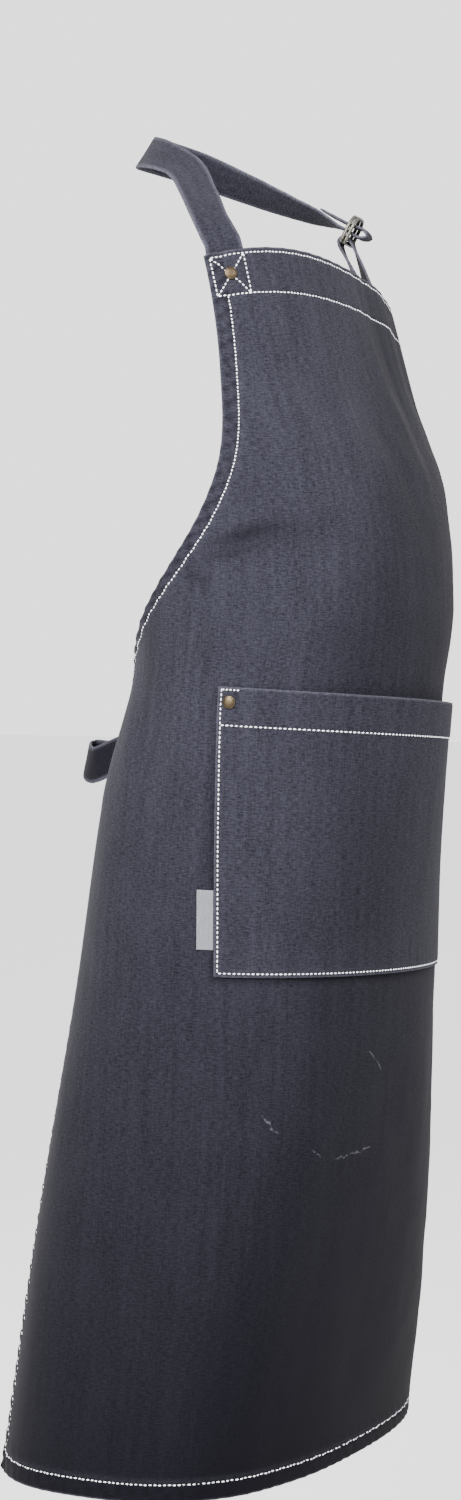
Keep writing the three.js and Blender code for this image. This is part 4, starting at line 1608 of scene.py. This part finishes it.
    def ring(self, name: str, travel: float, metal: Material) -> Piece:
        """Returns one round wire ring, flat along its bar.

        Args:
            name: the piece's name.
            travel: its place along the strap.
            metal: its finish.

        Returns:
            The ring.
        """
        half = self.width / 2 + self.ring_clear + self.wire / 2
        high = self.ring_inner / 2 + self.wire / 2
        top, low = self.arch, self.bar_corner
        arcs = (
            (half - top, high - top, top, 0),
            (-half + top, high - top, top, 90),
            (-half + low, -high + low, low, 180),
            (half - low, -high + low, low, 270),
        )
        path: list[Flat] = []
        for x, y, size, start in arcs:
            for i in range(9):
                turn = math.radians(start + 90 * i / 8)
                path.append((x + size * math.cos(turn), y + size * math.sin(turn)))
        bm = bmesh.new()
        hollow = bm.verts.layers.float.new("hollow")
        bmesh.ops.create_grid(bm, x_segments=self.wire_sides, y_segments=len(path), size=0.5)
        for vert in bm.verts:
            turn = (vert.co.x + 0.5) * 2 * math.pi
            i = round((0.5 - vert.co.y) * len(path)) % len(path)
            (ax, ay), (x, y), (bx, by) = path[i - 1], path[i], path[(i + 1) % len(path)]
            along = Vector((bx - ax, by - ay)).normalized()
            out = self.wire / 2 * math.cos(turn)
            flat = Vector((x + along.y * out, y - along.x * out))
            depth = travel + self.wire / 2 * math.sin(turn)
            vert.co = (self.ring_point(depth, flat.y) + self.ring_across * flat.x) * MM
            vert[hollow] = 0.5 - 0.5 * math.cos(turn)
        bmesh.ops.remove_doubles(bm, verts=bm.verts, dist=1e-7)
        bmesh.ops.recalc_face_normals(bm, faces=bm.faces)
        return add_piece(name + "_wire", bm, metal, name)

    def build(self, cotton: Material, thread: Material, metal: Material) -> None:
        """Builds the straps, their stitches and the rings."""
        neck, short = self.neck(), self.short()
        bent = WashedCotton("bent_cotton", chalk=self.chalk, creases=STRAP_CREASES).make()
        neck.add(bent, "neck_strap")
        short.add(cotton, "ring_strap")
        spacing = self.wire + self.gap
        self.ring("ring_inner", -spacing / 2, metal)
        self.ring("ring_outer", spacing / 2, metal)
        bm = bmesh.new()
        half = self.width / 2 - 3
        end = neck.length - 4
        seam = Seam(neck.place)
        seam.sew(bm, [(-half, end), (half, end)])
        add_stitches("strap_stitches", bm, thread)


@dataclass
class WaistTies(Webbing):
    """The two ties, sewn inside the side hems and carried round the back to a plain knot.

    Each row of a route is a place behind the waist, as shares to the left, forward and up.
    """

    sewn: float = 20.0
    below_corner: float = 3.0
    standoff: float = 56.0
    flare: float = 0.25
    knot_side: float = 0.75
    knot_near: float = 0.2
    knot_rise: float = 4.0
    knot_grip: float = 6.0
    knot_share: float = 0.9
    knot_length: float = 34.0
    knot_thickness: float = 12.0
    right_route: tuple[Triple, ...] = ((-0.95, 0.3, 0), (-0.45, 0.02, 1), (-0.1, 0, 1.2))
    left_route: tuple[Triple, ...] = ((0.74, 0.84, 0), (1.0, 0.6, 0.25), (1.5, 0.42, 0.5))

    def __post_init__(self) -> None:
        """Sets where the ties leave the hems and how far apart that is."""
        self.down = DRAPE.corner_down + self.width / 2 + self.below_corner
        self.face = -(self.hem_cloth + self.gap + self.room)
        self.right, self.left = self.leaving(Side.RIGHT), self.leaving(Side.LEFT)
        self.turn = (self.right[0] + self.left[0]) / 2
        self.turn.y += self.standoff
        self.spread = abs(self.left[0].x - self.right[0].x) / 2

    def leaving(self, side: Side) -> tuple[Vector, Vector]:
        """Returns the key where a tie leaves its hem."""
        reach = side.value * DRAPE.half_at(self.down)
        right, fall, _ = DRAPE.axes(reach, self.down)
        centre = DRAPE.point(reach, self.down, self.face - self.webbing / 2)
        return centre + right * (side.value * self.leaves), -fall

    def key(self, side: float, near: float, rise: float) -> tuple[Vector, Vector]:
        """Returns a key on the way round the back."""
        offset = Vector((side * self.spread, -near * self.standoff, rise * self.knot_rise))
        return offset + self.turn, Vector((0, self.flare * (near - 1), 1)).normalized()

    def knot_keys(self, sign: int) -> list[tuple[Vector, Vector]]:
        """Returns the two keys that bring a tie square to the knot's side."""
        made = []
        for away in (self.knot_grip, 0.0):
            centre, across = self.key(self.knot_side, self.knot_near, 1)
            centre.x += sign * (self.knot_length / 2 + self.gap + away)
            made.append((centre, across))
        return made

    def start(self, side: Side) -> list[Station]:
        """Returns the stations sewn inside the hem."""
        sign = side.value
        half = DRAPE.half_at(self.down)
        made = []
        for beyond in (-self.sewn, -self.sewn / 2, 0.0):
            _, fall, out = DRAPE.axes(sign * (half + beyond), self.down)
            centre = DRAPE.point(sign * (half + beyond), self.down, self.face - self.webbing / 2)
            made.append(Station(centre, -fall, out * sign))
        return made

    def band(self, side: Side) -> Band:
        """Returns one tie."""
        if side is Side.RIGHT:
            first, route = self.right, self.right_route
        else:
            first, route = self.left, self.left_route
        keys = [first] + [self.key(*row) for row in route] + self.knot_keys(side.value)
        stations = self.start(side) + smooth_stations(keys, self.steps)
        name = f"waist_tie_{side.name.lower()}_cloth"
        # Painted shade: the ties run round the back, in shade, so their colour is painted dark.
        return Band(name, stations, crease=0.3, seed=13.0 + side.value, dark=0.8)

    def knot(self, cotton: Material) -> Piece:
        """Returns the knot: a soft creased lump with one wrap of the tie round it."""
        centre = self.key(self.knot_side, self.knot_near, 1)[0]
        size = Vector((self.knot_length, self.knot_thickness, self.width * self.knot_share))
        bm = bmesh.new()
        uv, wear, shade = cloth_layers(bm)
        bmesh.ops.create_cube(bm, size=1.0)
        bmesh.ops.subdivide_edges(bm, edges=bm.edges, cuts=15, use_grid_fill=True)
        for vert in bm.verts:
            x, y, z = vert.co * 2
            ball = Vector((x, y, z)).normalized()
            soft = Vector((x, y, z)).lerp(ball * 1.25, 0.6)
            pinch = 1 - 0.3 * hump(x, 0, 0.45)
            crease = 0.06 * ripple(z * 3 + x, y * 2, 0.5, 60) + 0.05 * math.sin(6 * z + 3 * x)
            swell = Vector((0.5 * soft.x, 0.5 * soft.y * (1 + crease), 0.5 * soft.z * pinch))
            vert.co = (centre + Vector((swell.x * size.x, swell.y * size.y, swell.z * size.z)) * 0.94) * MM
            vert[wear] = 0.25 * smooth(abs(crease) * 8)
            # Painted shade on the knot behind the waist.
            vert[shade] = 0.4
        for face in bm.faces:
            for loop in face.loops:
                loop[uv].uv = (loop.vert.co.x, loop.vert.co.z)
        bmesh.ops.recalc_face_normals(bm, faces=bm.faces)
        lump = add_piece("tie_knot_cloth", bm, cotton, "tie_knot")
        ring: list[Station] = []
        lean = Vector((1, 0, 0.25)).normalized()
        for i in range(41):
            turn = 2 * math.pi * i / 40
            out = Vector((0, math.cos(turn), math.sin(turn)))
            reach = Vector((0, 0.46 * size.y * out.y, 0.38 * size.z * out.z))
            across = (lean - out * lean.dot(out)).normalized()
            ring.append(Station(centre + reach, across, out))
        # Painted shade on the knot's wrap.
        wrap = Band("tie_knot_wrap", ring, width=15, thickness=1.4, crease=0.25, seed=21.0, dark=0.4)
        add_piece(wrap.name, wrap.build(), cotton)
        return lump

    def build(self, cotton: Material, thread: Material) -> None:
        """Builds the ties, their knot and the stitches that hold them to the hems."""
        bm = bmesh.new()
        for side in Side:
            band = self.band(side)
            band.add(cotton, f"waist_tie_{side.name.lower()}")
            seam = Seam(band.place if side is Side.RIGHT else band.place_under, lift=0.1)
            half = self.width / 2 - 3
            box = [(-half, 3), (half, 3), (half, self.sewn - 3), (-half, self.sewn - 3), (-half, 3)]
            seam.sew(bm, box)
        self.knot(cotton)
        add_stitches("tie_stitches", bm, thread)


@dataclass
class Rivets:
    """Round caps with a low dome and a rolled rim, on a shank with a flat back."""

    radius: float = 4.4
    dome: float = 1.5
    shank: float = 1.4
    back_radius: float = 3.8
    back: float = 0.9
    gap: float = 0.3
    sides: int = 32

    def build(self, name: str, at: Flat, face: float, depth: float, metal: Material) -> None:
        """Builds one rivet.

        Args:
            name: the node that it stands for.
            at: its place across and down the flat pattern.
            face: how far its seat stands off the panel.
            depth: what it goes through behind the panel's face.
            metal: its finish.
        """
        seat = face + self.gap
        low = -depth - self.gap
        r = self.radius
        profile = (
            (0.0, low - self.back, 0.0),
            (self.back_radius - 0.4, low - self.back, 0.0),
            (self.back_radius, low - self.back / 2, 0.0),
            (self.back_radius, low, 0.5),
            (self.shank, low, 1.0),
            (self.shank, seat, 1.0),
            (r - 0.3, seat, 0.9),
            (r, seat + 0.25, 0.5),
            (0.97 * r, seat + 0.42 * self.dome, 0.2),
            (0.88 * r, seat + 0.62 * self.dome, 0.0),
            (0.8 * r, seat + 0.66 * self.dome, 0.5),
            (0.7 * r, seat + 0.78 * self.dome, 0.3),
            (0.5 * r, seat + 0.92 * self.dome, 0.1),
            (0.25 * r, seat + 0.99 * self.dome, 0.0),
            (0.0, seat + self.dome, 0.0),
        )
        right, _, out = DRAPE.axes(*at)
        up = out.cross(right)
        turn = Matrix((right, up, out)).transposed().to_4x4()
        place = Matrix.Scale(MM, 4) @ Matrix.Translation(DRAPE.point(*at)) @ turn
        bm = bmesh.new()
        hollow = bm.verts.layers.float.new("hollow")
        chain = []
        for x, z, deep in profile:
            vert = bm.verts.new((x, 0, z))
            vert[hollow] = deep
            chain.append(vert)
        edges = [bm.edges.new(pair) for pair in zip(chain, chain[1:])]
        bmesh.ops.spin(
            bm,
            geom=chain + edges,
            cent=(0, 0, 0),
            axis=(0, 0, 1),
            angle=2 * math.pi,
            steps=self.sides,
            use_merge=True,
        )
        bmesh.ops.remove_doubles(bm, verts=bm.verts, dist=1e-5)
        bmesh.ops.recalc_face_normals(bm, faces=bm.faces)
        bmesh.ops.transform(bm, matrix=place, verts=bm.verts)
        add_piece(name + "_cap", bm, metal, name)


@dataclass(frozen=True)
class Lamp:
    """One square soft light: where it stands, its side in metres and its strength in watts."""

    name: str
    place: Triple
    size: float
    power: float


@dataclass
class Studio:
    """Pale floor, soft lights and the camera."""

    floor_height: float = -1.35
    floor_size: float = 30.0
    eye: Triple = (-1.672, -1.099, -0.361)
    azimuth: float = -58.0
    tilt: float = 1.75
    lens: float = 66.86
    sensor: float = 36.0
    sky: float = 2.1
    aim: Triple = (-0.02, -0.1, -0.4)
    lamps: tuple[Lamp, ...] = (
        Lamp("key_light", (-1.85, -0.5, 0.85), 0.8, 165),
        Lamp("front_light", (-0.4, -2.6, 0.9), 1.2, 26),
        Lamp("back_light", (1.5, 1.9, 0.9), 1.4, 16),
    )

    def camera(self) -> None:
        """Sets up the camera."""
        az, tilt = math.radians(self.azimuth), math.radians(self.tilt)
        right = Vector((math.cos(az), math.sin(az), 0))
        back = Vector((math.sin(az) * math.cos(tilt), -math.cos(az) * math.cos(tilt), math.sin(tilt)))
        turn = Matrix((right, back.cross(right), back)).transposed().to_4x4()
        data = bpy.data.cameras.new("studio_camera")
        data.lens = self.lens
        data.sensor_width = self.sensor
        data.clip_end = 100
        eye = bpy.data.objects.new("studio_camera", data)
        eye.matrix_world = Matrix.Translation(self.eye) @ turn
        bpy.context.scene.collection.objects.link(eye)
        bpy.context.scene.camera = eye

    def light(self, lamp: Lamp) -> None:
        """Adds one light, turned to the aim."""
        data = bpy.data.lights.new(lamp.name, "AREA")
        data.size = lamp.size
        data.energy = lamp.power
        light = bpy.data.objects.new(lamp.name, data)
        place = Vector(lamp.place)
        turn = (Vector(self.aim) - place).to_track_quat("-Z", "Y").to_matrix().to_4x4()
        light.matrix_world = Matrix.Translation(place) @ turn
        bpy.context.scene.collection.objects.link(light)

    def build(self) -> None:
        """Builds the floor, the lights and the pale surroundings."""
        bm = bmesh.new()
        bmesh.ops.create_grid(bm, x_segments=4, y_segments=4, size=self.floor_size)
        bmesh.ops.translate(bm, verts=bm.verts, vec=(0, 0, self.floor_height))
        mesh = bpy.data.meshes.new("studio_floor")
        bm.to_mesh(mesh)
        bm.free()
        mesh.materials.append(StudioFloor().make())
        floor = bpy.data.objects.new("studio_floor", mesh)
        bpy.context.scene.collection.objects.link(floor)
        for lamp in self.lamps:
            self.light(lamp)
        world = bpy.data.worlds.new("studio_sky")
        world.use_nodes = True
        sky = world.node_tree.nodes["Background"]
        sky.inputs["Color"].default_value = (1, 1, 1, 1)
        sky.inputs["Strength"].default_value = self.sky
        bpy.context.scene.world = world


def main() -> None:
    """Builds the apron and its studio."""
    logging.basicConfig(level=logging.INFO, format="%(message)s")
    studio = Studio()
    studio.camera()
    studio.build()
    cotton = WashedCotton("washed_cotton", creases=SKIRT_CREASES).make()
    strap_cotton = WashedCotton("strap_cotton", yarn=0.0007).make()
    thread = SeamThread().make()
    brass = AgedMetal("aged_brass", BRASS, BRASS_PATINA).make()
    nickel = AgedMetal("aged_nickel", NICKEL, NICKEL_PATINA, 0.3).make()
    straps = Straps()
    panel, pocket = Panel(), Pocket()
    cloth = panel.build(cotton)
    stitches = panel.seams(thread, straps.at)
    pocket.build(cotton)
    pocket.seams(thread)
    Label().build(SatinTape().make(), pocket)
    straps.build(strap_cotton, thread, nickel)
    WaistTies().build(strap_cotton, thread)
    rivets = Rivets()
    stack = straps.hem_cloth + straps.gap + straps.webbing + straps.room
    face = pocket.rest + pocket.band_cloth
    beside = pocket.width / 2 - pocket.rivet_in
    for side in Side:
        word, sign = side.name.lower(), side.value
        corner = (sign * straps.at, straps.top_band / 2)
        rivets.build(f"rivet_bib_{word}", corner, 0.0, stack, brass)
        mouth = (sign * beside, pocket.down + pocket.rivet_down)
        rivets.build(f"rivet_pocket_{word}", mouth, face, panel.cloth + 3 * straps.room, brass)


if __name__ == "__main__":
    main()
